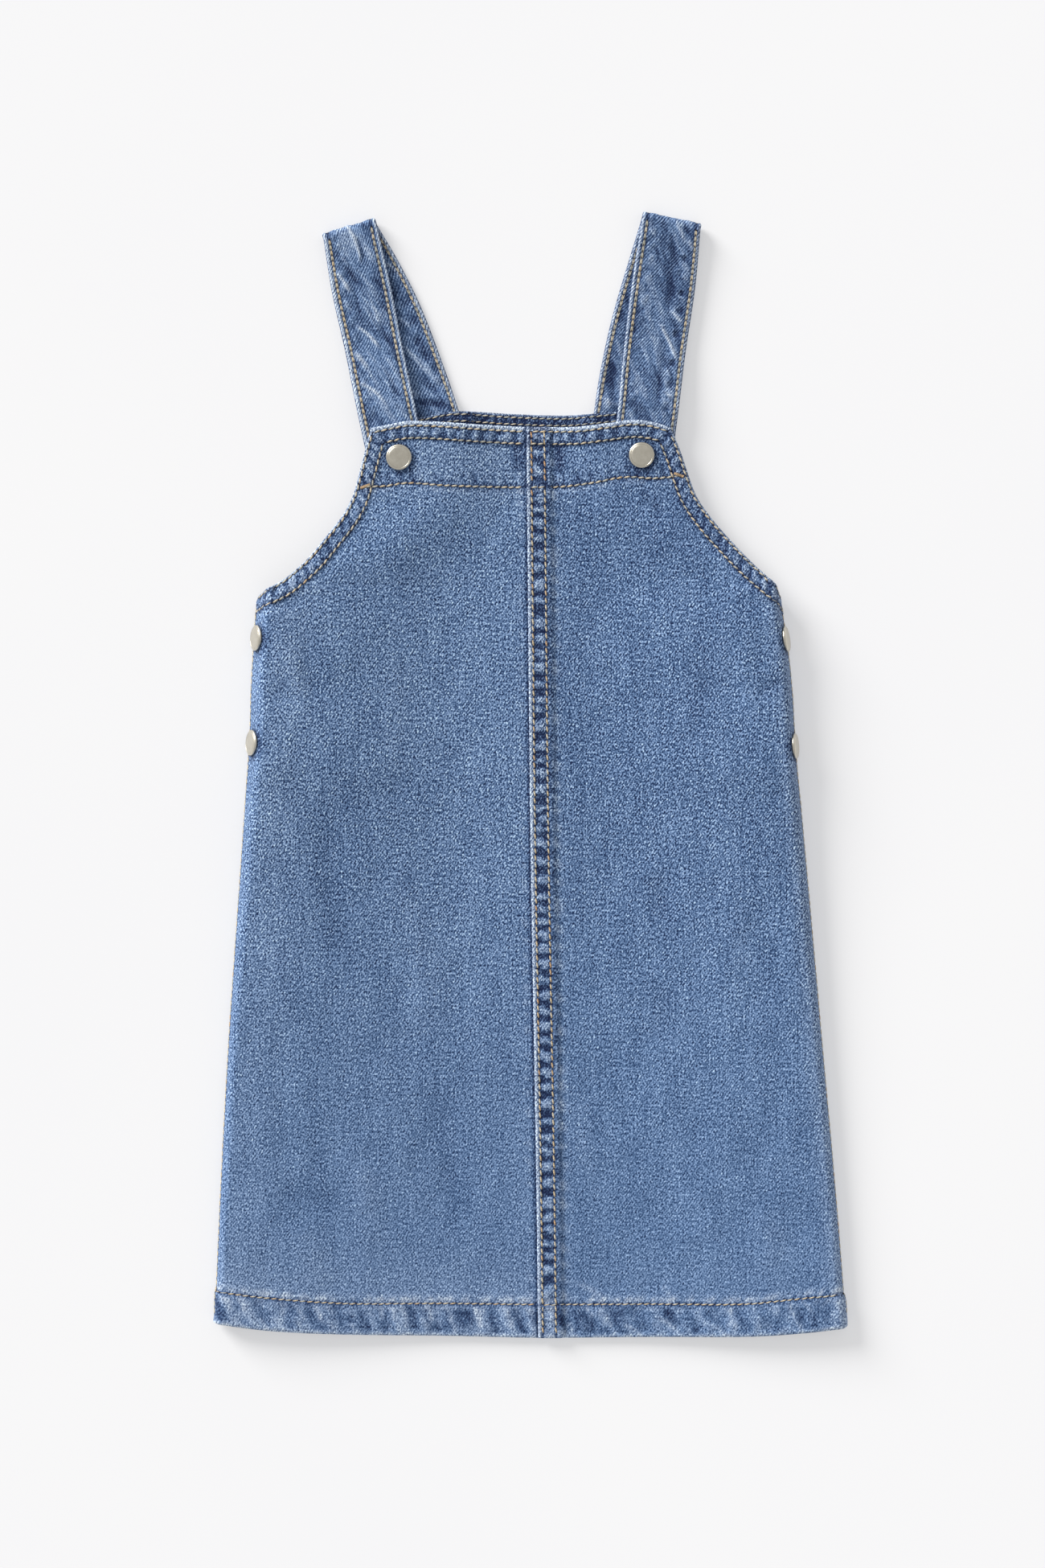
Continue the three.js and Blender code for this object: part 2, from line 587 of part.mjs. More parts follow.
// The back panel, both halves in one piece. Its outer face is the one underneath.
function backPanel() {
  const sheet = new Sheet();
  for (const side of [LEFT, RIGHT]) {
    const { columns, last } = backColumns(side);
    const count = columns.length - 1;
    fillHalf(sheet, side, {
      columns,
      last,
      place: backPoint,
      armholes: BACK_ARMHOLES,
      topY: (x) => smooth(BACK_TOP, "x", "y", x),
      corner: BACK_ARMHOLES[BACK_ARMHOLES.length - 1].y,
      topRows: BACK_TOP_ROWS,
      endY: (s, i, column) => {
        const { start } = backCurl(s, BACK_ARMHOLES[0].y);
        const out = abs(column(BACK_ARMHOLES[0].y));
        if (out < start) return armholeY(BACK_ARMHOLES, s, out);
        const cornerY = armholeY(BACK_ARMHOLES, s, start);
        const firstPast = columns.findIndex((c) => abs(c(BACK_ARMHOLES[0].y)) > start - 1e-6);
        return mix(cornerY, ARMHOLES[0].y - 2, (i - firstPast) / (count - firstPast));
      },
      rowsOf: (i, top, column) => {
        const x = THREE.MathUtils.clamp(column(HEM[0].line), HEM[0].x, HEM[HEM.length - 1].x);
        return [hemY(x, "edge") + BACK_HEM_SHORTER, hemY(x, "line"), ...BODY_ROWS, top];
      },
    });
  }
  const turned = weld(sheet);
  turned.faces = turned.faces.map((face) => [...face].reverse());
  return wallGeometry(turned, CLOTH);
}

// The facing inside the back's top edge: it shows between the straps, over the bib.
function backFacing() {
  const sheet = new Sheet();
  const base = CLOTH + GAP + FACING / 2;
  const rise = STRAP + GAP;
  const raised = (x, y) => {
    const beside = STRAP_BASES.map(
      (b) => ease(b.left - BASE_RISE, b.left, x) * (1 - ease(b.right, b.right + BASE_RISE, x)),
    );
    return Math.max(...beside) * ease(BASE_RISE_Y.from, BASE_RISE_Y.to, y);
  };
  const grid = FACING_ROWS.map((t) =>
    FACING_COLUMNS.map((f) => {
      const topX = mix(FACING_ENDS.top.left, FACING_ENDS.top.right, f);
      const x = mix(mix(FACING_ENDS.bottom.left, FACING_ENDS.bottom.right, f), topX, t);
      const y = mix(FACING_BOTTOM_Y, smooth(BACK_TOP, "x", "y", topX) - FACING_SET_BACK, t);
      return sheet.add({ p: x, y }, new THREE.Vector3(x, y, base + rise * raised(x, y)));
    }),
  );
  sheet.join(grid, false);
  return wallGeometry(sheet, FACING);
}

// Height of a strap's middle on its way up the back, and down the front.
const strapBackZ = (y) => mix(STRAP_BASE_Z, STRAP / 2, ease(STRAP_DROP.from, STRAP_DROP.to, y));
function strapFrontZ(y) {
  if (y > STRAP_FRONT[0].y) return smooth(STRAP_FRONT, "y", "z", y);
  return edgeLevel(y) - CLOTH / 2 - GAP - STRAP / 2;
}

// A strap: up the back, over a crease at the shoulder, down the front and in behind the bib.
function strap(side) {
  const path = STRAP_PATHS[side.name];
  const sheet = new Sheet();
  const edges = (rows, share) => {
    const at = (column) => smooth(rows, "share", column, share);
    return [new THREE.Vector2(at("lx"), at("ly")), new THREE.Vector2(at("rx"), at("ry"))];
  };
  const grid = [];
  const rung = (left, right, zOf, push = new THREE.Vector2()) => {
    grid.push(
      STRAP_COLUMNS.map((f) => {
        const at = left.clone().lerp(right, f).add(push);
        return sheet.add({ p: at.x, y: at.y }, new THREE.Vector3(at.x, at.y, zOf(at.y)));
      }),
    );
  };
  for (const share of STRAP_BACK_ROWS) rung(...edges(path.back, share), strapBackZ);
  const [foldLeft, foldRight] = edges(path.front, 0);
  const outward = new THREE.Vector2(foldLeft.y - foldRight.y, foldRight.x - foldLeft.x).normalize();
  for (let k = 0; k <= STRAP_FOLD_TURNS; k++) {
    const angle = (Math.PI * k) / STRAP_FOLD_TURNS;
    const z = STRAP / 2 + STRAP_FOLD_RADIUS * (1 - cos(angle));
    rung(foldLeft, foldRight, () => z, outward.clone().multiplyScalar(STRAP_FOLD_RADIUS * sin(angle)));
  }
  for (const share of STRAP_FRONT_ROWS) rung(...edges(path.front, share), strapFrontZ);
  sheet.join(grid, true);
  return wallGeometry(sheet, STRAP);
}

// A press stud's place: on the outer face, with the outward normal there.
function studPlace(stud, side) {
  const fold = foldAt(side, stud.y);
  const p = stud.x ?? side.sign * (fold.start + fold.upper + fold.flat / 2);
  const at = (dp, dy) => frontPoint(side, p + dp, stud.y + dy);
  const along = at(1, 0).sub(at(-1, 0));
  const normal = along.cross(at(0, 4).sub(at(0, -4))).normalize();
  return { middle: at(0, 0), normal };
}

// Turns a solid of revolution about +Y onto a stud's axis, with y 0 on the cloth's outer face.
function setOn(geometry, { middle, normal }) {
  const turn = new THREE.Quaternion().setFromUnitVectors(new THREE.Vector3(0, 1, 0), normal);
  const origin = middle.clone().addScaledVector(normal, CLOTH / 2);
  return geometry.applyMatrix4(new THREE.Matrix4().compose(origin, turn, new THREE.Vector3(1, 1, 1)));
}

// The cap with its post, which goes through both plies.
function studCap(place, depth) {
  const profile = [
    [0, -depth],
    [POST_RADIUS, -depth],
    [POST_RADIUS, GAP],
    [CAP_RADIUS - 0.6, GAP],
    [CAP_RADIUS, GAP + 0.5],
    [CAP_RADIUS - 0.1, GAP + 1.1],
    [CAP_RADIUS - 0.8, GAP + 1.55],
    [0, GAP + CAP_HEIGHT],
  ].map(([r, y]) => new THREE.Vector2(r, y));
  return setOn(new THREE.LatheGeometry(profile, ROUND_SEGMENTS), place);
}

// The ring that holds the post on the inside of the inner ply.
function studRing(place, depth) {
  const inner = POST_RADIUS + GAP;
  const top = -depth + BACK_RING_HEIGHT;
  const profile = [
    [inner, -depth],
    [BACK_RING_RADIUS - 0.4, -depth],
    [BACK_RING_RADIUS, top - 0.3],
    [BACK_RING_RADIUS, top],
    [inner, top],
    [inner, -depth],
  ].map(([r, y]) => new THREE.Vector2(r, y));
  return setOn(new THREE.LatheGeometry(profile, ROUND_SEGMENTS), place);
}

// A closed mesh as a solid that can be cut.
function solidOf(geometry) {
  const plain = new THREE.BufferGeometry().setAttribute("position", geometry.getAttribute("position"));
  plain.setIndex(geometry.index);
  const merged = mergeVertices(plain, 1e-4);
  const vertProperties = new Float32Array(merged.attributes.position.array);
  const triVerts = new Uint32Array(merged.index.array);
  return new wasm.Manifold(new wasm.Mesh({ numProp: 3, vertProperties, triVerts }));
}

// Cuts the posts' holes through a wall.
function punch(geometry, places, length) {
  let solid = solidOf(geometry);
  for (const place of places) {
    const tool = new THREE.CylinderGeometry(POST_HOLE_RADIUS, POST_HOLE_RADIUS, length, ROUND_SEGMENTS);
    solid = solid.subtract(solidOf(setOn(tool, place)));
  }
  const cut = solid.getMesh();
  const result = new THREE.BufferGeometry();
  result.setAttribute("position", new THREE.BufferAttribute(new Float32Array(cut.vertProperties), 3));
  result.setIndex([...cut.triVerts]);
  return result;
}

const dress = new THREE.Group();
function piece(name, geometry, material) {
  const mesh = new THREE.Mesh(geometry, material);
  mesh.name = name;
  dress.add(mesh);
}

const frontPlaces = FRONT_STUDS.map((stud) => ({ ...stud, place: studPlace(stud, stud.side) }));
const sidePlaces = SIDE_STUDS.map((stud) => ({ ...stud, place: studPlace(stud, stud.side) }));
const placesOn = (list, side) => list.filter((stud) => stud.side === side).map((stud) => stud.place);
const HOLE_LENGTH = 14; // reaches through both plies and no further cloth
for (const side of [LEFT, RIGHT]) {
  const all = [...placesOn(frontPlaces, side), ...placesOn(sidePlaces, side)];
  piece(`front_panel_${side.name}`, punch(frontPanel(side), all, HOLE_LENGTH), DENIM);
  piece(`strap_${side.name}`, punch(strap(side), placesOn(frontPlaces, side), HOLE_LENGTH), DENIM);
}
piece("back_panel", punch(backPanel(), sidePlaces.map((stud) => stud.place), HOLE_LENGTH), DENIM);
piece("back_facing", backFacing(), DENIM_INSIDE);

const depthUnder = (innerPly) => CLOTH + GAP + innerPly + GAP + BACK_RING_HEIGHT;
for (const stud of frontPlaces) {
  piece(`snap_cap_${stud.name}`, studCap(stud.place, depthUnder(STRAP)), METAL);
  piece(`snap_ring_${stud.name}`, studRing(stud.place, depthUnder(STRAP)), METAL);
}
for (const stud of sidePlaces) {
  piece(`snap_cap_${stud.name}`, studCap(stud.place, depthUnder(CLOTH)), METAL);
  piece(`snap_ring_${stud.name}`, studRing(stud.place, depthUnder(CLOTH)), METAL);
}

export default dress;
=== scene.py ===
"""A child's denim pinafore dress, laid flat on its back on a pale table. Metres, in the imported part's frame."""

import math

import bpy
import numpy as np
from mathutils import Matrix, Vector
from mathutils.bvhtree import BVHTree
from mathutils.geometry import barycentric_transform
from mathutils.kdtree import KDTree


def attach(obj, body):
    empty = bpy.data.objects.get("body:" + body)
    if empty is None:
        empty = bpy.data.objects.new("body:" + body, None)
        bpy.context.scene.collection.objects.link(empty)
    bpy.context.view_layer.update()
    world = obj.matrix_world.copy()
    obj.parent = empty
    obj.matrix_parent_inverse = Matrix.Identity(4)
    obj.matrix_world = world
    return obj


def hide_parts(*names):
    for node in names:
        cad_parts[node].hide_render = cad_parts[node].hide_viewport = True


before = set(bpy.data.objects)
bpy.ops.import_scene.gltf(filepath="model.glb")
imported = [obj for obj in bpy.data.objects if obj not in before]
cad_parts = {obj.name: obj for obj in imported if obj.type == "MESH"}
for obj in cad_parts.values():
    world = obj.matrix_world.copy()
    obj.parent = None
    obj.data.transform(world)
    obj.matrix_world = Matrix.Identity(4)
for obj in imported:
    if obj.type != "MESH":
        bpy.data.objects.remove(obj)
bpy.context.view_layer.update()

MM = 0.001  # the cut is worked out in millimetres

# ---------------------------------------------------------------- camera, light and table

PHOTO_LONG_SIDE = 0.7605  # what the picture's long side covers at the dress
CAMERA_HEIGHT = 2.2
SENSOR = 36.0
# the table's own faint glow: painted light that keeps shadows on it pale
TABLE_GLOW = 0.407


def set_camera():
    data = bpy.data.cameras.new("camera")
    data.sensor_width = SENSOR
    data.lens = SENSOR * CAMERA_HEIGHT / PHOTO_LONG_SIDE
    data.clip_end = 20
    camera = bpy.data.objects.new("camera", data)
    camera.location = (-0.0039, -0.0045, CAMERA_HEIGHT + 0.005)
    bpy.context.scene.collection.objects.link(camera)
    bpy.context.scene.camera = camera


def set_lights():
    world = bpy.data.worlds.new("soft_room")
    bpy.context.scene.world = world
    world.use_nodes = True
    background = world.node_tree.nodes["Background"]
    background.inputs["Color"].default_value = (1, 1, 1, 1)
    background.inputs["Strength"].default_value = 0.55
    lamp = bpy.data.lights.new("window", "SUN")
    lamp.energy = 4.05
    lamp.angle = math.radians(28)
    lamp.color = (1, 0.985, 0.96)
    window = bpy.data.objects.new("window", lamp)
    window.rotation_mode = "QUATERNION"
    window.rotation_quaternion = Vector((0.78, -0.74, -0.44)).to_track_quat("-Z", "Y")
    window.location = (-1, 1, 1.5)
    bpy.context.scene.collection.objects.link(window)
    bpy.context.scene.view_settings.view_transform = "Standard"


# ---------------------------------------------------------------- node helpers


def linear(*rgb):
    """A colour given as screen values from 0 to 255, as the shader wants it."""
    values = [c / 255 for c in rgb]
    return tuple(c / 12.92 if c <= 0.04045 else ((c + 0.055) / 1.055) ** 2.4 for c in values) + (1.0,)


class Nodes:
    """A material's node tree under construction."""

    def __init__(self, name):
        self.material = bpy.data.materials.new(name)
        self.material.use_nodes = True
        self.tree = self.material.node_tree
        self.shader = self.tree.nodes["Principled BSDF"]

    def add(self, kind, settings=None, **inputs):
        node = self.tree.nodes.new(kind)
        for key, value in (settings or {}).items():
            setattr(node, key, value)
        for key, value in inputs.items():
            self.feed(node.inputs[key.replace("_", " ")], value)
        return node

    def feed(self, socket, value):
        if isinstance(value, bpy.types.NodeSocket):
            self.tree.links.new(value, socket)
        else:
            socket.default_value = value

    def math(self, operation, a, b=0.0, c=0.0, clamp=False):
        node = self.tree.nodes.new("ShaderNodeMath")
        node.operation = operation
        node.use_clamp = clamp
        for socket, value in zip(node.inputs, (a, b, c)):
            self.feed(socket, value)
        return node.outputs[0]

    def noise(self, place, scale, detail=2.0, roughness=0.55, stretch=(1, 1, 1), turn=0.0):
        """Noise on places in millimetres, with features of one over scale, from 0 to 1."""
        mapped = self.add("ShaderNodeMapping", Vector=place)
        mapped.inputs["Rotation"].default_value = (0, 0, turn)
        mapped.inputs["Scale"].default_value = tuple(scale * s for s in stretch)
        node = self.add("ShaderNodeTexNoise", Vector=mapped.outputs[0], Scale=1.0)
        node.inputs["Detail"].default_value = detail
        node.inputs["Roughness"].default_value = roughness
        return node.outputs["Fac"]

    def attribute(self, name):
        return self.add("ShaderNodeAttribute", {"attribute_name": name}).outputs["Fac"]

    def ramp(self, factor, stops):
        node = self.add("ShaderNodeValToRGB", Fac=factor)
        ramp = node.color_ramp
        while len(ramp.elements) < len(stops):
            ramp.elements.new(0.5)
        for element, (at, colour) in zip(ramp.elements, stops):
            element.position = at
            element.color = colour
        return node.outputs[0]

    def mix(self, factor, a, b):
        node = self.add("ShaderNodeMix", {"data_type": "RGBA"})
        self.feed(node.inputs[0], factor)
        self.feed(node.inputs[6], a)
        self.feed(node.inputs[7], b)
        return node.outputs[2]

    def bump(self, height, distance, strength):
        node = self.add("ShaderNodeBump", Height=height, Distance=distance, Strength=strength)
        self.tree.links.new(node.outputs[0], self.shader.inputs["Normal"])

    def set(self, **values):
        for key, value in values.items():
            self.feed(self.shader.inputs[key.replace("_", " ")], value)


# ---------------------------------------------------------------- finishes

TWILL_ACROSS = 1.45  # spacing of the twill lines along the weft
TWILL_UP = 2.05  # and along the warp
TONE_LOW, TONE_HIGH = 30.0, 240.0  # mean screen value at the two ends of the dye ramps


def denim(name, tone, grey, inside_tone, line_share=1.0, grain_share=1.0):
    """Washed twill: steep right-hand lines, salt-and-pepper grain, slubs, worn ridges and dark unworn troughs; the dark
    mark also carries painted shade along stitch rows and edges and round the snaps.
    """
    n = Nodes(name)
    uv = n.add("ShaderNodeUVMap", {"uv_map": "cut"}).outputs[0]
    place = n.add("ShaderNodeVectorMath", {"operation": "SCALE"}, Vector=uv)
    place.inputs["Scale"].default_value = 1000.0
    place = place.outputs[0]
    split = n.add("ShaderNodeSeparateXYZ", Vector=place)
    turn = 2 * math.pi
    drift = n.noise(place, 1 / 9, detail=1.0)
    phase = n.math("MULTIPLY", split.outputs[0], turn / TWILL_ACROSS)
    phase = n.math("MULTIPLY_ADD", split.outputs[1], -turn / TWILL_UP, phase)
    phase = n.math("MULTIPLY_ADD", drift, 9.0, phase)
    lines = n.math("COSINE", phase)
    patchy = n.noise(place, 1 / 4.5, detail=1.0)
    grain = n.noise(place, 1 / 0.6, detail=1.2, roughness=0.6, stretch=(1, 0.75, 1))
    fleck = n.noise(place, 1 / 0.92, detail=0.0, stretch=(1, 0.72, 1))
    streak = n.noise(place, 1 / 3.2, detail=1.0, stretch=(1, 0.08, 1))
    slub = n.noise(place, 1 / 0.9, detail=1.0, stretch=(1, 0.045, 1))
    weft = n.noise(place, 1 / 0.8, detail=1.0, stretch=(0.06, 1, 1))
    cloud = n.noise(place, 1 / 11, detail=3.0, roughness=0.6, stretch=(1, 0.35, 1))
    wide = n.noise(place, 1 / 60, detail=1.0, stretch=(1, 0.6, 1))
    wear = n.attribute("wear")
    dark = n.attribute("dark")
    inside = n.attribute("inside")

    def add_up(level, *sources):
        for source, share in sources:
            level = n.math("MULTIPLY_ADD", n.math("SUBTRACT", source, 0.5), share, level)
        return level

    level = n.math("MULTIPLY", lines, n.math("MULTIPLY_ADD", patchy, 62.0 * line_share, -9.0))
    level = add_up(level, (grain, 380.0 * grain_share), (fleck, 210.0 * grain_share), (slub, 64.0), (weft, 26.0))
    # the weave shows less towards the hem
    crisp = n.add("ShaderNodeMapRange", Value=split.outputs[1])
    for socket, value in (("From Min", -240.0), ("From Max", -20.0), ("To Min", 0.66), ("To Max", 1.0)):
        crisp.inputs[socket].default_value = value
    level = n.math("MULTIPLY_ADD", level, crisp.outputs[0], tone)
    level = add_up(level, (streak, 18.0), (cloud, 34.0), (wide, 12.0))
    # wear and the dark mark (unworn dye, and painted shade) both break up along the grain, but not where the wear is
    # heaviest
    broken = n.math("MULTIPLY_ADD", grain, 1.3, 0.35)
    even = n.math("MULTIPLY_ADD", n.math("SUBTRACT", 1.0, broken), n.math("MULTIPLY", wear, 0.65), broken)
    level = n.math("MULTIPLY_ADD", n.math("MULTIPLY", wear, even), 66.0, level)
    level = n.math("MULTIPLY_ADD", n.math("MULTIPLY", dark, broken), -72.0, level)
    level = n.math("MULTIPLY_ADD", inside, inside_tone, level)
    factor = n.add("ShaderNodeMapRange", Value=level)
    factor.inputs["From Min"].default_value = TONE_LOW
    factor.inputs["From Max"].default_value = TONE_HIGH
    factor = factor.outputs[0]

    def stops(at_low, at_high, levels=(30, 70, 110, 150, 190, 240)):
        span = TONE_HIGH - TONE_LOW
        screen = lambda t, k: min(252.0, max(8.0, t + mix(at_low[k], at_high[k], (t - TONE_LOW) / span)))
        return [((t - TONE_LOW) / span, linear(*(screen(t, k) for k in range(3)))) for t in levels]

    blue = n.ramp(factor, stops((-32, -4, 36), (-32, -4, 36)))
    worn = n.ramp(factor, stops((-20, -7, 27), (-14, -1, 13)))
    grey_share = n.math("MAXIMUM", n.math("MULTIPLY", wear, 0.85), n.math("MULTIPLY", dark, 0.4))
    grey_share = n.math("ADD", n.math("MAXIMUM", grey_share, inside), grey, clamp=True)
    n.set(Base_Color=n.mix(grey_share, blue, worn))
    n.set(Roughness=n.math("MULTIPLY_ADD", grain, 0.22, 0.74))
    height = n.math("MULTIPLY_ADD", lines, 0.22, n.math("MULTIPLY", grain, 0.8))
    height = n.math("MULTIPLY_ADD", slub, 0.3, height)
    n.bump(height, 0.00016, 0.45)
    n.set(Sheen_Weight=0.1, Sheen_Roughness=0.5, Sheen_Tint=(0.8, 0.86, 1.0, 1.0), Specular_IOR_Level=0.2)
    return n.material


def thread():
    """Topstitch thread: two twisted plies, from gold to washed-out beige, with painted shade in the twist and at the
    ends.
    """
    n = Nodes("topstitch_thread")
    uv = n.add("ShaderNodeUVMap", {"uv_map": "cut"}).outputs[0]
    split = n.add("ShaderNodeSeparateXYZ", Vector=uv)
    phase = n.math("MULTIPLY", split.outputs[0], 2 * math.pi * 4)
    phase = n.math("MULTIPLY_ADD", split.outputs[1], 2 * math.pi, phase)
    ply = n.math("MULTIPLY_ADD", n.math("COSINE", phase), 0.5, 0.5)
    tone = n.attribute("tone")
    gold = n.ramp(tone, [(0.0, linear(206, 162, 118)), (0.35, linear(216, 198, 162)), (0.7, linear(226, 217, 194)),
                         (1.0, linear(188, 189, 176))])
    # painted shade: the twist's grooves between the plies darken towards brown
    twisted = n.mix(n.math("MULTIPLY", ply, 0.3), gold, linear(120, 98, 76))
    # painted shade: both ends darken to deep brown where the thread goes into the cloth
    end = n.math("MULTIPLY", n.math("ABSOLUTE", n.math("SUBTRACT", split.outputs[0], 0.5)), 2.0)
    shaded = n.mix(n.math("MULTIPLY", n.math("POWER", end, 1.5), 0.92), twisted, linear(84, 72, 68))
    shaded = n.mix(n.math("MULTIPLY", n.math("POWER", end, 8.0, clamp=True), 0.9), shaded, linear(48, 42, 46))
    n.set(Base_Color=shaded, Roughness=n.math("MULTIPLY_ADD", ply, 0.15, 0.62))
    n.bump(ply, 0.00012, 0.6)
    n.set(Sheen_Weight=0.15, Specular_IOR_Level=0.3)
    return n.material


def needle_hole_shade():
    """Painted shade for the pit where the thread goes into the cloth: a deep blue-black colour."""
    n = Nodes("needle_hole_shade")
    place = n.add("ShaderNodeTexCoord").outputs["Object"]
    pit = n.noise(place, 2500.0)
    n.set(Base_Color=n.ramp(pit, [(0.3, linear(28, 28, 38)), (0.7, linear(50, 50, 62))]))
    n.set(Roughness=n.math("MULTIPLY_ADD", pit, 0.1, 0.88))
    n.bump(pit, 0.0001, 0.4)
    n.set(Specular_IOR_Level=0.1)
    return n.material


def nickel():
    """Warm satin nickel, finely brushed and a little handled."""
    n = Nodes("satin_nickel")
    place = n.add("ShaderNodeTexCoord").outputs["Object"]
    brushed = n.noise(place, 5200.0, detail=2.0, stretch=(1, 0.06, 1))
    handled = n.noise(place, 420.0, detail=2.0)
    tone = n.math("MULTIPLY_ADD", brushed, 0.5, n.math("MULTIPLY", handled, 0.5))
    n.set(Base_Color=n.ramp(tone, [(0.3, linear(200, 194, 180)), (0.7, linear(216, 211, 198))]))
    n.set(Metallic=1.0, Roughness=n.math("MULTIPLY_ADD", tone, 0.22, 0.24))
    n.bump(brushed, 0.00004, 0.3)
    return n.material


def table_top():
    """The pale table, nearly even, and glowing faintly of itself: painted light, so that shadows on it stay light."""
    n = Nodes("pale_table")
    place = n.add("ShaderNodeTexCoord").outputs["Object"]
    cloudy = n.noise(place, 3.0)
    n.set(Base_Color=n.ramp(cloudy, [(0.3, linear(189, 189, 191)), (0.7, linear(191, 191, 192))]))
    n.set(Roughness=n.math("MULTIPLY_ADD", cloudy, 0.05, 0.9), Specular_IOR_Level=0.0)
    n.set(Emission_Color=(0.99, 0.99, 1.0, 1.0), Emission_Strength=TABLE_GLOW)
    return n.material


# ---------------------------------------------------------------- the cut, in millimetres

CLOTH = 1.3  # one ply
FACING = 1.2
STRAP = 2.2  # two plies, turned and stitched
GAP = 0.3
INSET = CLOTH + GAP
HEM_LIFT = 0.7
EDGE_LIFT = 0.6
EDGE_BAND = 8.0
STEP_WIDTH = 0.8
LAP_WIDTH = 10.3
UNDER_WIDTH = 9.0
LAP_SLOPE = 2.5
LAP_END_Z = 2.4
LAP_TURN = math.radians(115)
ROUND_RATIO = 1.2
UNDERLAP_SHARE = 0.1
SPLIT_Y = 102.0
BACK_HEM_SHORTER = 1.2
# rows: how far the stitch rows are in from the strap's left and right edge, up the back and down the front
LEFT = {"name": "left", "sign": -1, "tilt": math.radians(65), "column": 1, "rows": ((2.6, 2.3), (3.1, 3.3))}
RIGHT = {"name": "right", "sign": 1, "tilt": math.radians(76), "column": 2, "rows": ((2.4, 2.6), (3.0, 2.1))}


def table(*rows):
    return np.array(rows, float).T


SIDES = table(  # y, left, right, flat stretch of the fold
    (-274, 153.8, 153.8, 1.3), (-210, 151.0, 148.8, 1.3), (-132, 146.8, 141.8, 2.2), (-54, 141.4, 134.8, 3.5),
    (-12, 138.5, 131.0, 6), (6, 137.3, 129.3, 9), (24, 136.3, 128.1, 9), (40, 135.9, 127.2, 8),
    (57, 135.0, 125.5, 9), (74, 133.9, 123.1, 9), (87, 131.8, 120.8, 7.5),
)
LEVELS = table(  # y, height at the seam, height at the side, and between which shares of the way it rises
    (-274, 3.1, 8.6, 0.2, 1), (-210, 3.1, 9.2, 0.2, 1), (-132, 3.2, 10.3, 0.2, 1), (-54, 3.3, 12.4, 0.2, 1),
    (-12, 3.4, 14.4, 0.2, 1), (6, 3.5, 16.0, 0.2, 1), (24, 3.5, 16.0, 0.2, 1), (40, 3.6, 15.4, 0.2, 1),
    (57, 3.6, 16.0, 0.2, 1), (74, 3.7, 16.0, 0.2, 1), (87, 3.8, 14.6, 0.2, 0.98), (102, 4.0, 11.9, 0.18, 0.86),
    (117, 4.3, 9.8, 0.14, 0.7), (130, 4.6, 8.6, 0.1, 0.57), (143, 4.8, 8.5, 0.05, 0.52),
    (168, 4.8, 9.7, 0.05, 0.52), (177, 4.8, 9.9, 0.05, 0.52),
)
HEM = table(  # x, lower edge, stitch line
    (-154, -265.9, -250.3), (-125, -269.6, -253.8), (-90, -271.5, -256.4), (-40, -272.4, -256.6),
    (6, -273.4, -257.2), (60, -272.9, -256.9), (104, -272.5, -256.6), (128, -270.9, -254.1), (154, -268.0, -251.5),
)
CENTRE_SEAM = table((-274, 3.7), (-190, 2.7), (-34, 0), (83, -1.2), (175, -2.0))
ARMHOLES = table(  # y, and the way out to the left and right edge
    (85.8, 140.4, 131.7), (88.4, 131.0, 124.4), (93.7, 120.3, 116.9), (99.6, 113.0, 110.3), (105.4, 107.0, 104.3),
    (117.0, 97.6, 93.6), (125.5, 91.1, 86.6), (134.3, 86.4, 80.7), (143.8, 83.6, 76.9), (155.0, 80.7, 73.2),
    (167.8, 77.3, 68.1),
)
BACK_ARMHOLES = table(
    (86.7, 126.5, 117.4), (89.7, 118.7, 112.7), (95.3, 111.4, 106.6), (102.3, 104.0, 100.0), (110.9, 96.2, 92.7),
    (121.3, 88.0, 84.0), (131.7, 81.9, 77.1), (143.0, 78.4, 72.4), (156.0, 75.4, 68.5), (172.0, 71.1, 64.1),
)
BIB_TOP = table(
    (-77.3, 167.8), (-67.9, 169.7), (-58.0, 171.3), (-47.0, 171.0), (-26.9, 169.8), (-2.0, 168.7), (20.0, 168.5),
    (37.1, 170.2), (50.3, 171.8), (60.0, 170.6), (68.1, 167.8),
)
BACK_TOP = table(
    (-71.1, 172.0), (-54.2, 173.6), (-35.5, 176.7), (-9.8, 175.3), (15.6, 174.5), (31.2, 175.5), (43.0, 176.5),
    (64.1, 172.0),
)
FACING_LINE = table(  # where the bib's inner facing is stitched down
    (-83.1, 139.4), (-70.2, 139.8), (-59.7, 141.3), (-41.7, 140.1), (-3.1, 139.4), (14.4, 139.6), (29.5, 141.3),
    (48.1, 144.2), (59.3, 143.5), (74.9, 145.1),
)
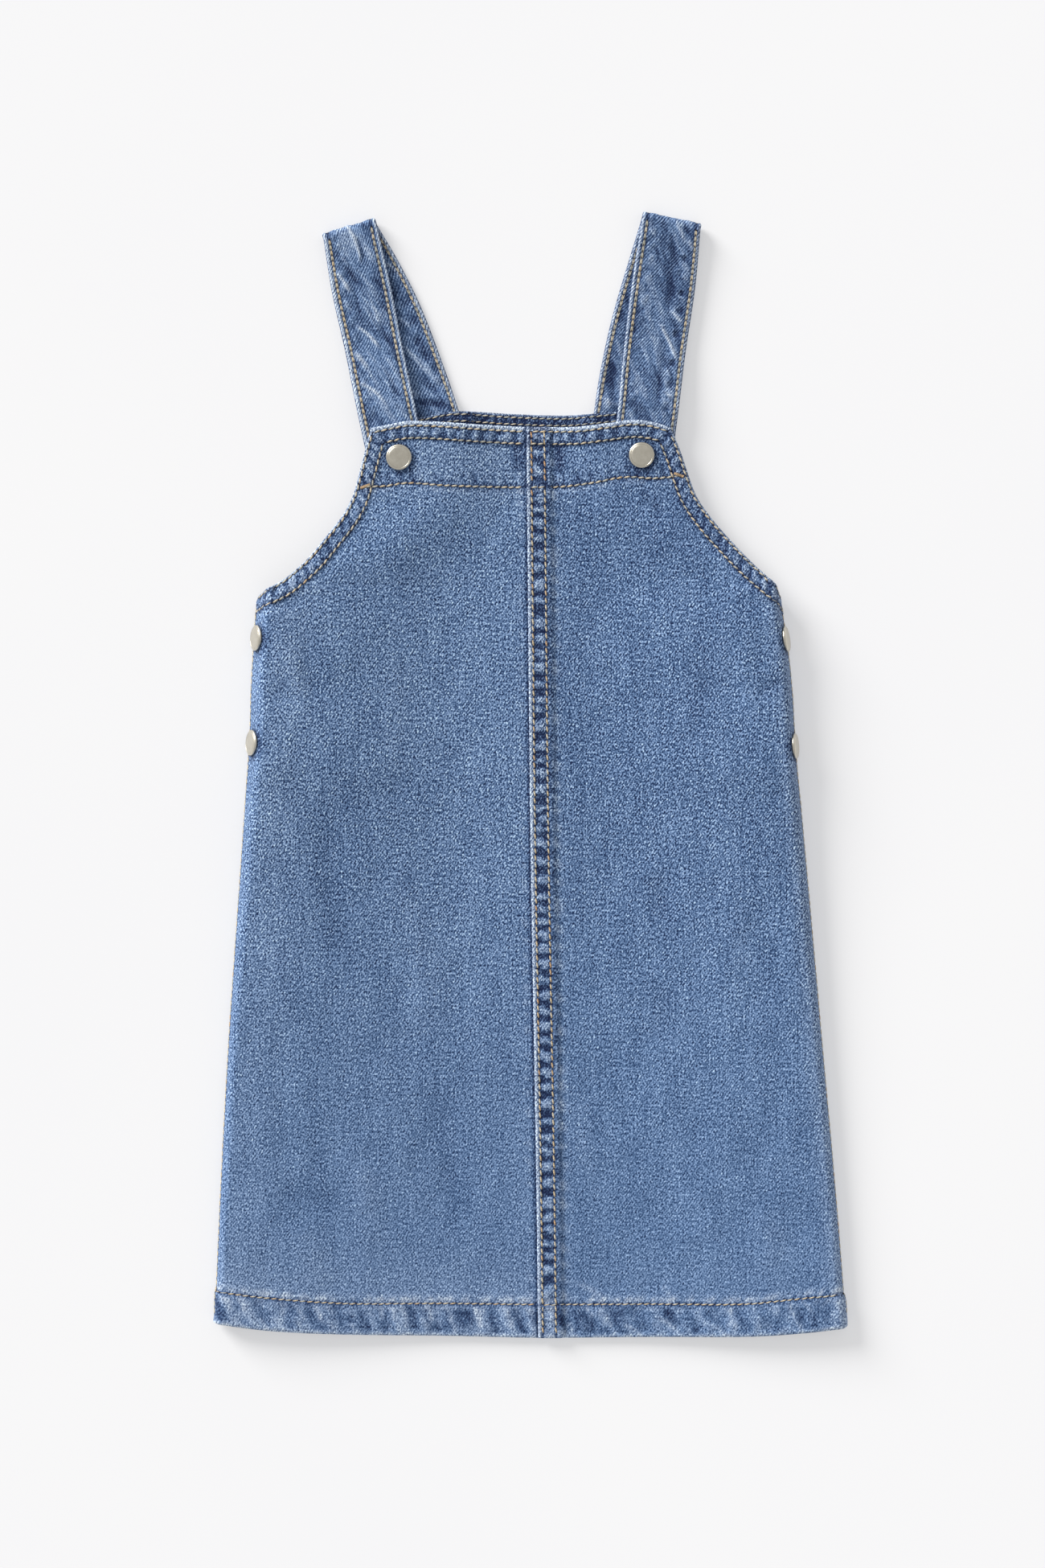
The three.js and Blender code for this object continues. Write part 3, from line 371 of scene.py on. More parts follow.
# Straps: share of the way, then both long edges
STRAP_BACK = {
    "left": table((0, -60.4, 166.4, -31.4, 166.4), (0.12, -64.1, 177.5, -35.1, 177.5),
                  (0.35, -72.3, 195.9, -41.3, 195.9), (0.65, -85.1, 224.6, -53.2, 227.1),
                  (0.86, -94.2, 245.0, -64.5, 249.9), (1, -100.4, 259.3, -74.6, 267.1)),
    "right": table((0, 29.1, 166.4, 57.8, 166.4), (0.12, 31.0, 177.5, 59.8, 177.5),
                   (0.35, 33.9, 195.9, 64.4, 194.1), (0.65, 40.3, 224.5, 71.5, 221.9),
                   (1, 54.0, 270.2, 82.4, 264.1)),
}
STRAP_FRONT = {
    "left": table((0, -100.4, 259.3, -74.6, 267.1), (0.25, -96.3, 233.6, -67.4, 235.7),
                  (0.5, -89.8, 204.5, -61.5, 205.4), (0.75, -84.2, 176.8, -55.4, 176.8),
                  (1, -75.6, 136.6, -47.2, 138.0)),
    "right": table((0, 54.0, 270.2, 82.4, 264.1), (0.25, 48.9, 237.5, 79.9, 236.2),
                   (0.5, 44.8, 205.0, 75.2, 204.5), (0.75, 42.2, 177.7, 71.8, 177.2),
                   (1, 37.6, 138.4, 66.5, 136.6)),
}
STRAP_FOLD_RADIUS = 2.2
SHOULDER_STEPS = 14
STRAP_BASE_Z = CLOTH + GAP + STRAP / 2
STRAP_DROP = (178.5, 189)
STRAP_HEIGHTS = table((178, 7.3), (196, 5.4), (215, 3.8), (240, 4.1), (262, 5.4))
FACING_BOTTOM_Y = 139.0
FACING_SET_BACK = 0.5
FACING_TOP_ENDS, FACING_BOTTOM_ENDS = (-69.3, 62.4), (-74.5, 68.5)
STRAP_BASES = ((-76, -29.9), (27.3, 70))
BASE_RISE = 4.5
BASE_RISE_Y = (157, 164.5)
FRONT_STUDS = (("front_left", LEFT, -63.8, 153.8), ("front_right", RIGHT, 53.8, 154.8))
SIDE_STUDS = (
    ("side_left_upper", LEFT, 66.1), ("side_left_lower", LEFT, 15.4),
    ("side_right_upper", RIGHT, 65.5), ("side_right_lower", RIGHT, 13.8),
)


def mix(a, b, t):
    return a + (b - a) * t


def ease(low, high, value):
    t = np.clip((np.asarray(value, float) - low) / (high - low), 0, 1)
    return t * t * (3 - 2 * t)


def smooth(rows, column, at):
    """A smooth value of one column of a table, at places along its first column."""
    xs, ys = rows[0], rows[column]
    slopes = np.diff(ys) / np.diff(xs)
    through = (ys[2:] - ys[:-2]) / (xs[2:] - xs[:-2])
    through = np.where(slopes[1:] * slopes[:-1] <= 0, 0, through)
    tangents = np.concatenate([slopes[:1], through, slopes[-1:]])
    at = np.clip(at, xs[0], xs[-1])
    k = np.clip(np.searchsorted(xs, at, side="right") - 1, 0, len(xs) - 2)
    span = xs[k + 1] - xs[k]
    t = (at - xs[k]) / span
    rest = 1 - t
    value = ys[k] * (1 + 2 * t) * rest * rest + ys[k + 1] * t * t * (1 + 2 * rest)
    return value + span * (tangents[k] * t * rest * rest - tangents[k + 1] * t * t * rest)


def cloud(x, y, size, seed):
    """Soft random values from -1 to 1, which change over about one size."""
    grid = np.random.default_rng(seed).uniform(-1, 1, (64, 64))
    u, v = np.asarray(x) / size + 1000.0, np.asarray(y) / size + 1000.0
    i, j = np.floor(u).astype(int), np.floor(v).astype(int)
    a, b = u - i, v - j
    a, b = a * a * (3 - 2 * a), b * b * (3 - 2 * b)
    at = lambda m, n: grid[m % 64, n % 64]
    return (at(i, j) * (1 - a) + at(i + 1, j) * a) * (1 - b) + (at(i, j + 1) * (1 - a) + at(i + 1, j + 1) * a) * b


def seam_x(y):
    return smooth(CENTRE_SEAM, 1, y)


def edge_level(y):
    return smooth(LEVELS, 2, y) - CLOTH / 2


def armhole_y(rows, side, out):
    """The y at which an armhole is a given way out."""
    y = np.linspace(rows[0][0], rows[0][-1], 3000)
    return np.interp(out, smooth(rows, side["column"], y)[::-1], y[::-1])


def fold_at(side, y):
    """The side fold: upper roll, flat stretch and lower roll of the front's middle surface."""
    y = np.minimum(y, SIDES[0][-1])
    flat, top, tilt = smooth(SIDES, 3, y), edge_level(y), side["tilt"]
    rolls = top - LAP_END_Z - flat * math.sin(tilt)
    low = rolls / (ROUND_RATIO * (1 - math.cos(tilt)) + math.cos(tilt) - math.cos(LAP_TURN))
    high = ROUND_RATIO * low
    reach = high * math.sin(tilt) + flat * math.cos(tilt) + low * (1 - math.sin(tilt))
    start = smooth(SIDES, side["column"], y) - CLOTH / 2 - reach
    upper = high * tilt
    return {"tilt": tilt, "flat": flat, "top": top, "low": low, "high": high, "start": start, "upper": upper,
            "length": upper + flat + low * (LAP_TURN - tilt)}


def fold_point(fold, q, inset=0.0):
    """Way out and height of the fold, a distance q along it."""
    tilt, flat, low, high, upper = (fold[k] for k in ("tilt", "flat", "low", "high", "upper"))
    turn = np.clip(q / high, 0, tilt)
    along = np.clip(q - upper, 0, flat)
    out = fold["start"] + high * np.sin(turn) + along * math.cos(tilt)
    z = fold["top"] - high * (1 - np.cos(turn)) - along * math.sin(tilt)
    under = tilt + np.maximum(q - upper - flat, 0) / low
    out = out + low * (np.sin(under) - math.sin(tilt))
    z = z - low * (math.cos(tilt) - np.cos(under))
    turn = turn + under - tilt
    return out - inset * np.sin(turn), z - inset * np.cos(turn)


def from_seam(side, p, y):
    return np.maximum(0, side["sign"] * (p - seam_x(y)))


def front_point(side, p, y):
    """The front's middle surface: x and z at places on the cut."""
    sign, fold = side["sign"], fold_at(side, y)
    out = p * sign
    armhole = np.where(y > ARMHOLES[0][0], smooth(ARMHOLES, side["column"], y), np.inf)
    limit = np.abs(sign * np.minimum(fold["start"], armhole) - seam_x(y))
    away = from_seam(side, p, y)
    centre = smooth(LEVELS, 1, y) - CLOTH / 2
    rise = ease(smooth(LEVELS, 3, y), smooth(LEVELS, 4, y), away / limit)
    z = mix(centre, edge_level(y), rise)
    if side is RIGHT:
        z = z + INSET * (1 - ease(LAP_WIDTH, LAP_WIDTH + LAP_SLOPE, away))
    past = out > fold["start"]
    fold_out, fold_z = fold_point(fold, np.maximum(out - fold["start"], 0))
    return np.where(past, sign * fold_out, p), np.where(past, fold_z, z)


def back_curl(side, y):
    fold = fold_at(side, y)
    end_out, end_z = fold_point(fold, fold["length"], INSET)
    rise = math.pi - LAP_TURN
    radius = (end_z - CLOTH / 2) / (1 - math.cos(rise))
    return {"fold": fold, "radius": radius, "start": end_out - radius * math.sin(rise), "arc": radius * rise,
            "stop": fold["upper"] * UNDERLAP_SHARE}


def back_point(side, p, y):
    """The back's middle surface: flat, then up inside the front's fold."""
    curl, sign = back_curl(side, y), side["sign"]
    past = p * sign - curl["start"]
    turn = np.clip(past / curl["radius"], 0, math.pi - LAP_TURN)
    x = curl["start"] + curl["radius"] * np.sin(turn)
    z = CLOTH / 2 + curl["radius"] * (1 - np.cos(turn))
    out, high = fold_point(curl["fold"], np.maximum(curl["fold"]["length"] - (past - curl["arc"]), 0), INSET)
    flat, arc = past <= 0, past <= curl["arc"]
    return (np.where(flat, p, sign * np.where(arc, x, out)), np.where(flat, CLOTH / 2, np.where(arc, z, high)))


# ---------------------------------------------------------------- grids on the cut

ROUNDING = [0, 0.12, 0.35, 0.75, 1.3]  # rows beside a cut edge, which is rounded there
BAND_STEP = 0.95
PANEL_STEP = 1.5
BACK_STEP = 2.1
STRAP_STEP = 0.55


def steps(low, high, step):
    return np.linspace(low, high, max(2, int(round(abs(high - low) / step)) + 1))


class Cut:
    """A cloth piece as it is cut: places on the flat cloth and four-sided faces between them."""

    def __init__(self):
        self.p, self.y, self.sign, self.faces, self.count = [], [], [], [], 0

    def grid(self, p, y, sign=0):
        p, y = np.broadcast_arrays(np.asarray(p, float), np.asarray(y, float))
        numbers = self.count + np.arange(p.size).reshape(p.shape)
        self.p.append(p.ravel())
        self.y.append(y.ravel())
        self.sign.append(np.full(p.size, sign))
        self.count += p.size
        return numbers

    def join(self, numbers, turned=False):
        a, b, c, d = numbers[:-1, :-1], numbers[:-1, 1:], numbers[1:, 1:], numbers[1:, :-1]
        corners = [a, d, c, b] if turned else [a, b, c, d]
        self.faces.append(np.stack([k.ravel() for k in corners], axis=1))

    def close(self):
        """Puts the parts together, with doubles merged."""
        p, y, sign = (np.concatenate(k) for k in (self.p, self.y, self.sign))
        keys = np.round(np.stack([p, y], axis=1), 4)
        _, first, to = np.unique(keys, axis=0, return_index=True, return_inverse=True)
        to = to.ravel()
        faces = to[np.concatenate(self.faces)]
        return p[first], y[first], sign[first], faces


def fill_half(cut, side, columns, last, armholes, top_rows, end_y, hem_column, pitch):
    """One half of a body panel: the body up to the split or the armhole, then the bib, blended from its edges."""
    sign = side["sign"]
    hem_rows = np.array(ROUNDING + list(np.arange(2.4, 20, BAND_STEP)))
    top_step = np.array((ROUNDING + list(np.arange(2.4, 12, BAND_STEP)))[::-1])
    body_share = steps(0, 1, pitch / 340)[1:-1]
    grid_p, grid_y = [], []
    for i, column in enumerate(columns):
        x = np.clip(column(np.array(-250.0)), HEM[0][0], HEM[0][-1])
        bottom = smooth(HEM, 1, x) + hem_column
        top = SPLIT_Y if i <= last else float(end_y(i, column))
        low, high = bottom + hem_rows, top - top_step
        y = np.concatenate([low, mix(low[-1], high[0], body_share), high])
        grid_y.append(y)
        grid_p.append(column(y))
    numbers = cut.grid(np.stack(grid_p, axis=1), np.stack(grid_y, axis=1), sign)
    cut.join(numbers, side is LEFT)

    across = np.array([float(column(np.array(SPLIT_Y))) for column in columns[: last + 1]])
    inner, outer = across[0], across[-1]
    top_y = lambda x: smooth(top_rows, 1, x)
    corner = armholes[0][-1]
    top_inner = float(columns[0](top_y(inner)))
    top_outer = sign * armholes[side["column"]][-1]
    f = (across - inner) / (outer - inner)
    height = corner - SPLIT_Y
    low = steps(0, height - 12, pitch)[1:]
    share = np.concatenate([low, height - top_step])[:, None] / height
    edge_y = mix(SPLIT_Y, corner, share)
    edge_p = sign * smooth(armholes, side["column"], edge_y)
    top_p = mix(top_inner, top_outer, f)
    straight_p = mix(mix(inner, outer, f), top_p, share)
    straight_y = mix(SPLIT_Y, mix(top_y(top_inner), corner, f), share)
    along_p = mix(mix(inner, top_inner, share), edge_p, f)
    along_y = mix(mix(SPLIT_Y, top_y(top_inner), share), edge_y, f)
    across_p = mix(across, top_p, share)
    across_y = mix(SPLIT_Y, top_y(top_p), share)
    bib = cut.grid(along_p + across_p - straight_p, along_y + across_y - straight_y, sign)
    cut.join(np.vstack([numbers[-1, : last + 1][None], bib]), side is LEFT)


def front_cut(side):
    cut, sign = Cut(), side["sign"]
    split = smooth(ARMHOLES, side["column"], SPLIT_Y) / fold_at(side, SPLIT_Y)["start"]
    split_p = lambda y: sign * fold_at(side, y)["start"] * split
    if side is RIGHT:
        offsets = ROUNDING + [2.3, 3.2, 4.2, 5.3, 6.4, 7.5, 8.7, 9.5, 10.3, 11.1, 12, 12.8]
    else:
        offsets = [UNDER_WIDTH - k for k in ROUNDING] + [6, 4, 2, 1, 0.4, -0.2, -0.8, -1.5, -2.5, -3.7, -5, -6.5]
    columns = [lambda y, k=k: seam_x(y) + k for k in offsets]
    base = columns[-1]
    inner_width = 110.0 - 13
    shares = np.concatenate([steps(0, 1 - 12 / inner_width, PANEL_STEP / inner_width)[1:],
                             1 - np.array((ROUNDING + list(np.arange(2.4, 11.5, BAND_STEP)))[::-1]) / inner_width])
    columns += [lambda y, k=k: mix(base(y), split_p(y), k) for k in shares]
    last = len(columns) - 1
    start = lambda y: sign * fold_at(side, y)["start"]
    columns += [lambda y, k=k: mix(split_p(y), start(y), k) for k in steps(0, 1, 1 / 7)[1:]]

    def along(y, part, k):
        fold = fold_at(side, y)
        ends = [0, fold["upper"], fold["upper"] + fold["flat"], fold["length"]]
        return sign * (fold["start"] + mix(ends[part], ends[part + 1], k))

    columns += [lambda y, k=k: along(y, 0, k) for k in steps(0, 1, 1 / 12)[1:]]
    columns += [lambda y, k=k: along(y, 1, k) for k in steps(0, 1, 1 / 5)[1:]]
    columns += [lambda y, k=k: along(y, 2, k) for k in (0.2, 0.4, 0.6, 0.75, 0.86, 0.93, 0.97, 0.99, 1)]
    fill_half(cut, side, columns, last, ARMHOLES, BIB_TOP,
              lambda i, column: armhole_y(ARMHOLES, side, abs(column(np.array(ARMHOLES[0][1])))), 0.0, PANEL_STEP)
    return cut.close()


def back_cut():
    cut = Cut()
    for side in (LEFT, RIGHT):
        sign = side["sign"]
        split = smooth(BACK_ARMHOLES, side["column"], SPLIT_Y) / back_curl(side, SPLIT_Y)["start"]
        start = lambda y, side=side, sign=sign: sign * back_curl(side, y)["start"]
        split_p = lambda y, start=start, split=split: start(y) * split
        width = 102.0
        shares = np.concatenate([steps(0, 1 - 12 / width, BACK_STEP / width),
                                 1 - np.array((ROUNDING + list(np.arange(2.4, 11.5, BAND_STEP)))[::-1]) / width])
        columns = [lambda y, k=k, s=split_p: s(y) * k for k in shares]
        last = len(columns) - 1
        columns += [lambda y, k=k, a=split_p, b=start: mix(a(y), b(y), k) for k in steps(0, 1, 1 / 6)[1:]]
        first_past = len(columns) - 1

        def along(y, part, k, side=side, sign=sign):
            curl = back_curl(side, y)
            fold, arc = curl["fold"], curl["arc"]
            low = fold["length"] - fold["upper"] - fold["flat"]
            ends = [0, arc, arc + low, arc + low + fold["flat"], arc + fold["length"] - curl["stop"]]
            return sign * (curl["start"] + mix(ends[part], ends[part + 1], k))

        for part, shares in ((0, steps(0, 1, 0.2)), (1, steps(0, 1, 0.25)), (2, steps(0, 1, 0.2)),
                             (3, np.array([0, 0.2, 0.4, 0.6, 0.78, 0.88, 0.94, 0.98, 1]))):
            columns += [lambda y, k=k, part=part, along=along: along(y, part, k) for k in shares[1:]]
        low_y = np.array(BACK_ARMHOLES[0][0])
        start_out = abs(float(start(low_y)))
        corner_y = float(armhole_y(BACK_ARMHOLES, side, start_out))
        end_out = abs(float(columns[-1](low_y)))

        def end_y(i, column, side=side):
            out = abs(float(column(low_y)))
            if i <= first_past:
                return armhole_y(BACK_ARMHOLES, side, out)
            return mix(corner_y, ARMHOLES[0][0] - 2, (out - start_out) / (end_out - start_out))

        fill_half(cut, side, columns, last, BACK_ARMHOLES, BACK_TOP, end_y, BACK_HEM_SHORTER, BACK_STEP)
    return cut.close()


# ---------------------------------------------------------------- shells


def normals_of(points, faces):
    """Unit normals of a surface of four-sided faces."""
    total = np.zeros_like(points)
    a, b, c, d = (points[faces[:, k]] for k in range(4))
    face = np.cross(c - a, d - b)
    for k in range(4):
        np.add.at(total, faces[:, k], face)
    return total / np.maximum(np.linalg.norm(total, axis=1), 1e-9)[:, None]


def rim_of(faces):
    """The open edges of a surface, each in the direction of its face."""
    pairs = np.concatenate([faces[:, [k, (k + 1) % 4]] for k in range(4)])
    known = set(map(tuple, pairs.tolist()))
    return [(a, b) for a, b in pairs.tolist() if (b, a) not in known]


class Shell:
    """A cloth piece in space: its outer and inner face on one cut, closed round the rim."""

    def __init__(self, name, cut, middle, faces, outer, inner, marks):
        normal = normals_of(middle, faces)
        self.name, self.cut, self.faces = name, cut, faces
        self.outer = middle + normal * outer[:, None]
        self.inner = middle - normal * inner[:, None]
        self.normal, self.marks, self.trees, self.wrong_side = normal, marks, {}, 1.0
        self.twill_turned = (1.0, 1.0)  # -1 for a face on which the twill leans the other way

    def size(self):
        """Width, length and area of the cut, in metres and square metres."""
        a, b, c, d = (self.cut[self.faces[:, k]] for k in range(4))
        one, two = c - a, d - b
        area = 0.5 * np.abs(one[:, 0] * two[:, 1] - one[:, 1] * two[:, 0]).sum()
        width, length = np.ptp(self.cut, axis=0)
        return width * MM, length * MM, area * MM * MM

    def build(self, materials):
        count = len(self.cut)
        points = np.concatenate([self.outer, self.inner]) * MM
        rim = [(b, a, count + a, count + b) for a, b in rim_of(self.faces)]
        faces = self.faces.tolist() + (count + self.faces[:, ::-1]).tolist() + rim
        mesh = bpy.data.meshes.new(self.name)
        mesh.from_pydata(points.tolist(), [], faces)
        uv = mesh.uv_layers.new(name="cut")
        corners = np.zeros(len(mesh.loops), int)
        mesh.loops.foreach_get("vertex_index", corners)
        flat = (self.cut * MM)[corners % count]
        flat[:, 0] *= np.where(corners < count, *self.twill_turned)
        uv.data.foreach_set("uv", flat.astype(np.float32).ravel())
        for key, (outside, inside) in {**self.marks, "inside": (np.zeros(count), np.full(count, self.wrong_side))}.items():
            layer = mesh.attributes.new(key, "FLOAT", "POINT")
            layer.data.foreach_set("value", np.concatenate([outside, inside]).astype(np.float32))
        mesh.polygons.foreach_set("use_smooth", np.ones(len(mesh.polygons), bool))
        for material in materials:
            mesh.materials.append(material)
        mesh.update()
        piece = bpy.data.objects.new(self.name, mesh)
        bpy.context.scene.collection.objects.link(piece)
        return piece

    def place(self, p, y, face):
        """A place on the cut as a point on the outer or inner face, in millimetres."""
        if not self.trees:
            corners = [Vector((u, v, 0)) for u, v in self.cut]
            self.triangles = [t for a, b, c, d in self.faces.tolist() for t in ((a, b, c), (a, c, d))]
            self.corners = corners
            self.trees["cut"] = BVHTree.FromPolygons(corners, self.triangles)
        spot = Vector((p, y, 0))
        nearest, _, number, _ = self.trees["cut"].find_nearest(spot)
        a, b, c = self.triangles[number]
        points = self.outer if face == "outer" else self.inner
        at = barycentric_transform(nearest, self.corners[a], self.corners[b], self.corners[c],
                                   Vector(points[a]), Vector(points[b]), Vector(points[c]))
        normal = Vector(self.normal[a])
        return at, (normal if face == "outer" else -normal)


def rounded(edge, thickness):
    """How much of a wall's thickness is left, near a cut edge."""
    t = np.clip(edge / (thickness / 2), 0, 1)
    return np.maximum(0.16, np.sqrt(1 - (1 - t) ** 2))


def tree_of(points):
    tree = KDTree(len(points))
    for k, (u, v) in enumerate(points):
        tree.insert((u, v, 0), k)
    tree.balance()
    return tree


def line_distance(points, p, y):
    """Distance on the cut to a drawn line, and how far along the line that is."""
    points = np.asarray(points)
    along = np.concatenate([[0], np.cumsum(np.hypot(*np.diff(points, axis=0).T))])
    tree = tree_of(points)
    found = [tree.find((u, v, 0)) for u, v in zip(p, y)]
    return np.array([f[2] for f in found]), along[[f[1] for f in found]]


def groove(distance, depth=0.24, width=0.75):
    return -depth * np.exp(-((distance / width) ** 2))


def ridge(distance, width):
    return np.exp(-((distance / width) ** 2))


def band(distance, low, high, soft=0.7):
    return ease(low - soft, low + soft, distance) * (1 - ease(high - soft, high + soft, distance))


def puckers(along, across, pitch, slant, seed, crisp=1.0):
    """The rhythm of a seam that has drawn up: 1 on a ridge and -1 in a trough."""
    s = along + slant * across
    beat = np.sin(2 * math.pi * s / pitch + 2.6 * cloud(s, 0 * s, pitch * 1.9, seed))
    return np.clip(crisp * (0.75 * beat + 0.75 * cloud(s, across, pitch * 0.45, seed + 1)), -1, 1)


# Soft creases: from x, y to x, y, bow, width, height
FRONT_CREASES = (
    (-128, 84, -100, 90, 2, 3.2, 0.55), (-127, 79, -108, 80, -2, 3.0, 0.45), (-120, 92, -98, 106, 2, 4.5, 0.5),
    (-118, 66, -112, 32, 2, 5.0, 0.5), (-108, 62, -104, 40, -2, 5.0, -0.45), (-126, 40, -112, 36, 1, 3.5, -0.5),
    (-84, -190, -78, -226, 2, 6.0, 0.5), (-118, -200, -94, -206, -3, 6.0, -0.5), (-112, -222, -104, -246, 2, 7.0, 0.4),
    (-60, -60, -52, -118, 4, 8.0, 0.4), (-96, -20, -92, -88, -3, 7.0, -0.4), (-70, 60, -66, 10, 2, 7.0, 0.3),
    (-44, -150, -40, -214, 3, 8.0, -0.35), (-66, 128, -60, 104, 1, 3.0, 0.3), (-36, 136, -39, 122, 0, 2.2, 0.3),
    (-22, 136, -20, 120, 0, 2.0, 0.25), (-52, 137, -56, 124, 0, 2.2, 0.3), (-15.6, 136.6, -5.9, 133.2, 0.8, 1.2, 0.6),
    (-5.9, 133.2, -1.5, 126, 0.6, 1.2, 0.55), (17.6, 135.5, 20.6, 127, 0, 1.3, 0.6), (14.6, 134, 17.6, 126, 0, 1.2, -0.6),
    (54.6, 138.5, 64, 127, -1, 2.2, -0.8), (59, 139.5, 69, 128.5, -1, 1.3, 0.5), (-72, 133, -60, 127, 1, 1.6, -0.5),
    (32, 64, 34, 36, 1, 5.0, 0.45), (23, -158, 25, -188, 1, 5.0, 0.45), (64, -46, 66, -70, -2, 5.0, -0.45),
    (64, -104, 62, -128, 2, 5.0, -0.45), (112, -212, 116, -236, 2, 6.0, 0.5), (92, -30, 98, -96, 4, 8.0, 0.4),
    (104, 68, 108, 30, -2, 5.0, 0.5), (118, 84, 98, 88, -2, 3.5, 0.45), (114, 92, 92, 108, -3, 4.5, 0.4),
    (84, 60, 78, 20, 2, 6.0, -0.4), (50, 130, 46, 112, 0, 2.5, 0.3), (22, 136, 20, 124, 0, 2.2, 0.25),
    (36, 137, 33, 124, 0, 2.2, 0.3), (60, 138, 56, 122, 0, 2.6, 0.3), (124, 44, 112, 40, -1, 3.5, -0.5),
)
# Sharp pale streaks that the wash has left across the hem, as above
HEM_STREAKS = (
    (25.4, -256, 29.3, -262.7, 0.3, 0.8, 1), (34.7, -256.8, 37.8, -265.8, 0, 1.0, 0.9), (37.4, -263.8, 41.7, -272, 0, 0.8, 0.9),
    (46, -266.9, 53.4, -272, 0.4, 0.8, 0.9), (62.4, -263.1, 73.3, -272, 0.4, 1.0, 1.0), (64.7, -248.2, 68.6, -254.1, 0, 0.8, 0.7),
    (22.6, -246.7, 35.1, -254.1, 0.6, 1.2, 0.8), (88.9, -267, 95.6, -272.4, 0.3, 1.0, 0.9), (96.7, -258.4, 99.8, -267.7, 0.3, 1.0, 0.9),
    (124.4, -254.1, 127.5, -261.9, 0.3, 0.8, 1.0), (127.5, -261.9, 132.6, -270.9, -0.3, 0.9, 1.0), (131.4, -254.1, 136.5, -259.9, 0, 0.7, 0.9),
    (18.3, -266.9, 21.8, -272.4, 0, 0.8, 0.9), (108, -258, 112, -268, 0.3, 1.2, 0.6), (78, -257, 81, -265, 0, 1.2, 0.5),
    (-113.1, -257.9, -110, -263.8, 0, 0.8, 0.9), (-104.1, -257.9, -101.4, -263.8, 0, 0.9, 0.9), (-87, -265.8, -83.9, -271.6, 0, 1.0, 0.8),
    (-73.3, -258, -71.8, -263.8, 0, 1.0, 0.8), (-62.4, -258, -59.3, -265.8, 0.3, 1.1, 0.9), (-50.7, -256, -47.6, -265.8, 0.3, 1.2, 0.9),
    (-41, -258, -38.2, -263.8, 0, 1.0, 0.8), (-39, -263.8, -35.9, -271.6, 0, 1.0, 0.8), (-130.7, -263.8, -126.8, -269.7, 0, 1.0, 0.7),
    (-120.9, -258, -119.4, -264, 0, 1.0, 0.6), (-28, -257, -24, -270, 0.4, 1.1, 0.8), (-12, -258, -9, -268, 0.3, 1.0, 0.7),
    (-141, -252, -138, -262, 0.3, 1.1, 0.7),
)
# The straps' sharper creases on their front stretch, and on the stretch up the back
STRAP_CREASES = {
    "left": (
        (-90.5, 267, -85.4, 259.9, 0.3, 0.9, 1.0), (-85.4, 259.9, -82.7, 250.2, 0.3, 0.8, 1.0), (-83.2, 259, -80.8, 251, 0, 0.9, -0.7),
        (-92, 251.7, -87.4, 245.1, 0, 1.0, 0.5), (-89.7, 247.1, -83.9, 237.3, 0.4, 0.9, -0.8), (-93.6, 243.2, -88.1, 234.6, 0.3, 0.9, 0.7),
        (-87, 238.5, -83.1, 225.6, 0.3, 0.8, -0.5), (-84.2, 217.8, -74.1, 208.1, 0.6, 0.9, 0.9), (-80, 235.4, -74.1, 219.8, 0.4, 1.0, 0.5),
        (-72.5, 217.8, -68.6, 210, 0, 1.1, -0.9), (-68.6, 210, -63.6, 200.3, 0.3, 1.0, -0.8), (-74.1, 239.3, -71, 219.8, 0, 2.2, -0.5),
        (-85.8, 204.2, -80, 198.3, 0.3, 1.1, 0.5), (-82.7, 189.4, -75.7, 185.4, 0.5, 0.9, 0.8), (-75.7, 185.4, -69.4, 178.8, 0.3, 1.0, 0.6),
        (-78, 225, -72, 212, 0.4, 0.8, -0.5), (-70, 196, -64, 182, 0.4, 1.4, -0.4),
    ),
    "right": (
        (71, 267.3, 74.1, 258.8, 0.2, 0.9, 0.6), (71, 245, 76, 240.1, 0.2, 1.1, 0.7), (67.1, 225.6, 73.3, 219, 0.2, 1.1, 0.9),
        (63.2, 217.8, 70.2, 202.2, 0.3, 0.9, 1.0), (65.5, 196.4, 67.9, 192.5, 0, 1.0, 0.6), (54.6, 219.8, 59.3, 210, 0.3, 1.0, 0.4),
        (77, 258.8, 78.8, 254.1, 0, 1.2, 0.7), (70.5, 234, 74.5, 229.5, 0, 1.0, 0.6), (64, 186, 68, 182.5, 0, 1.0, 0.6),
        (69.4, 258.8, 68.3, 227.6, 0, 1.8, -0.5), (64.7, 208, 61.6, 180.8, 0, 1.8, -0.5), (74.9, 251.4, 74.9, 249, 0, 1.6, -1.0),
        (72.5, 244.4, 72.5, 242, 0, 1.2, -0.7), (73.3, 234.6, 73.3, 232.2, 0, 1.4, -0.9), (72.2, 225.7, 72.2, 223.3, 0, 1.5, -1.0),
        (70.6, 214.9, 70.6, 212.1, 0, 1.5, -1.0), (69, 200.9, 69, 198.1, 0, 1.5, -1.0), (67.5, 190.2, 67.5, 187, 0, 1.7, -1.0),
        (65.9, 179.6, 65.9, 176.4, 0, 1.7, -0.9), (75.5, 266, 76.5, 262, 0, 1.6, -0.6), (50.5, 224, 51.5, 214, 0, 1.6, -0.4),
    ),
}
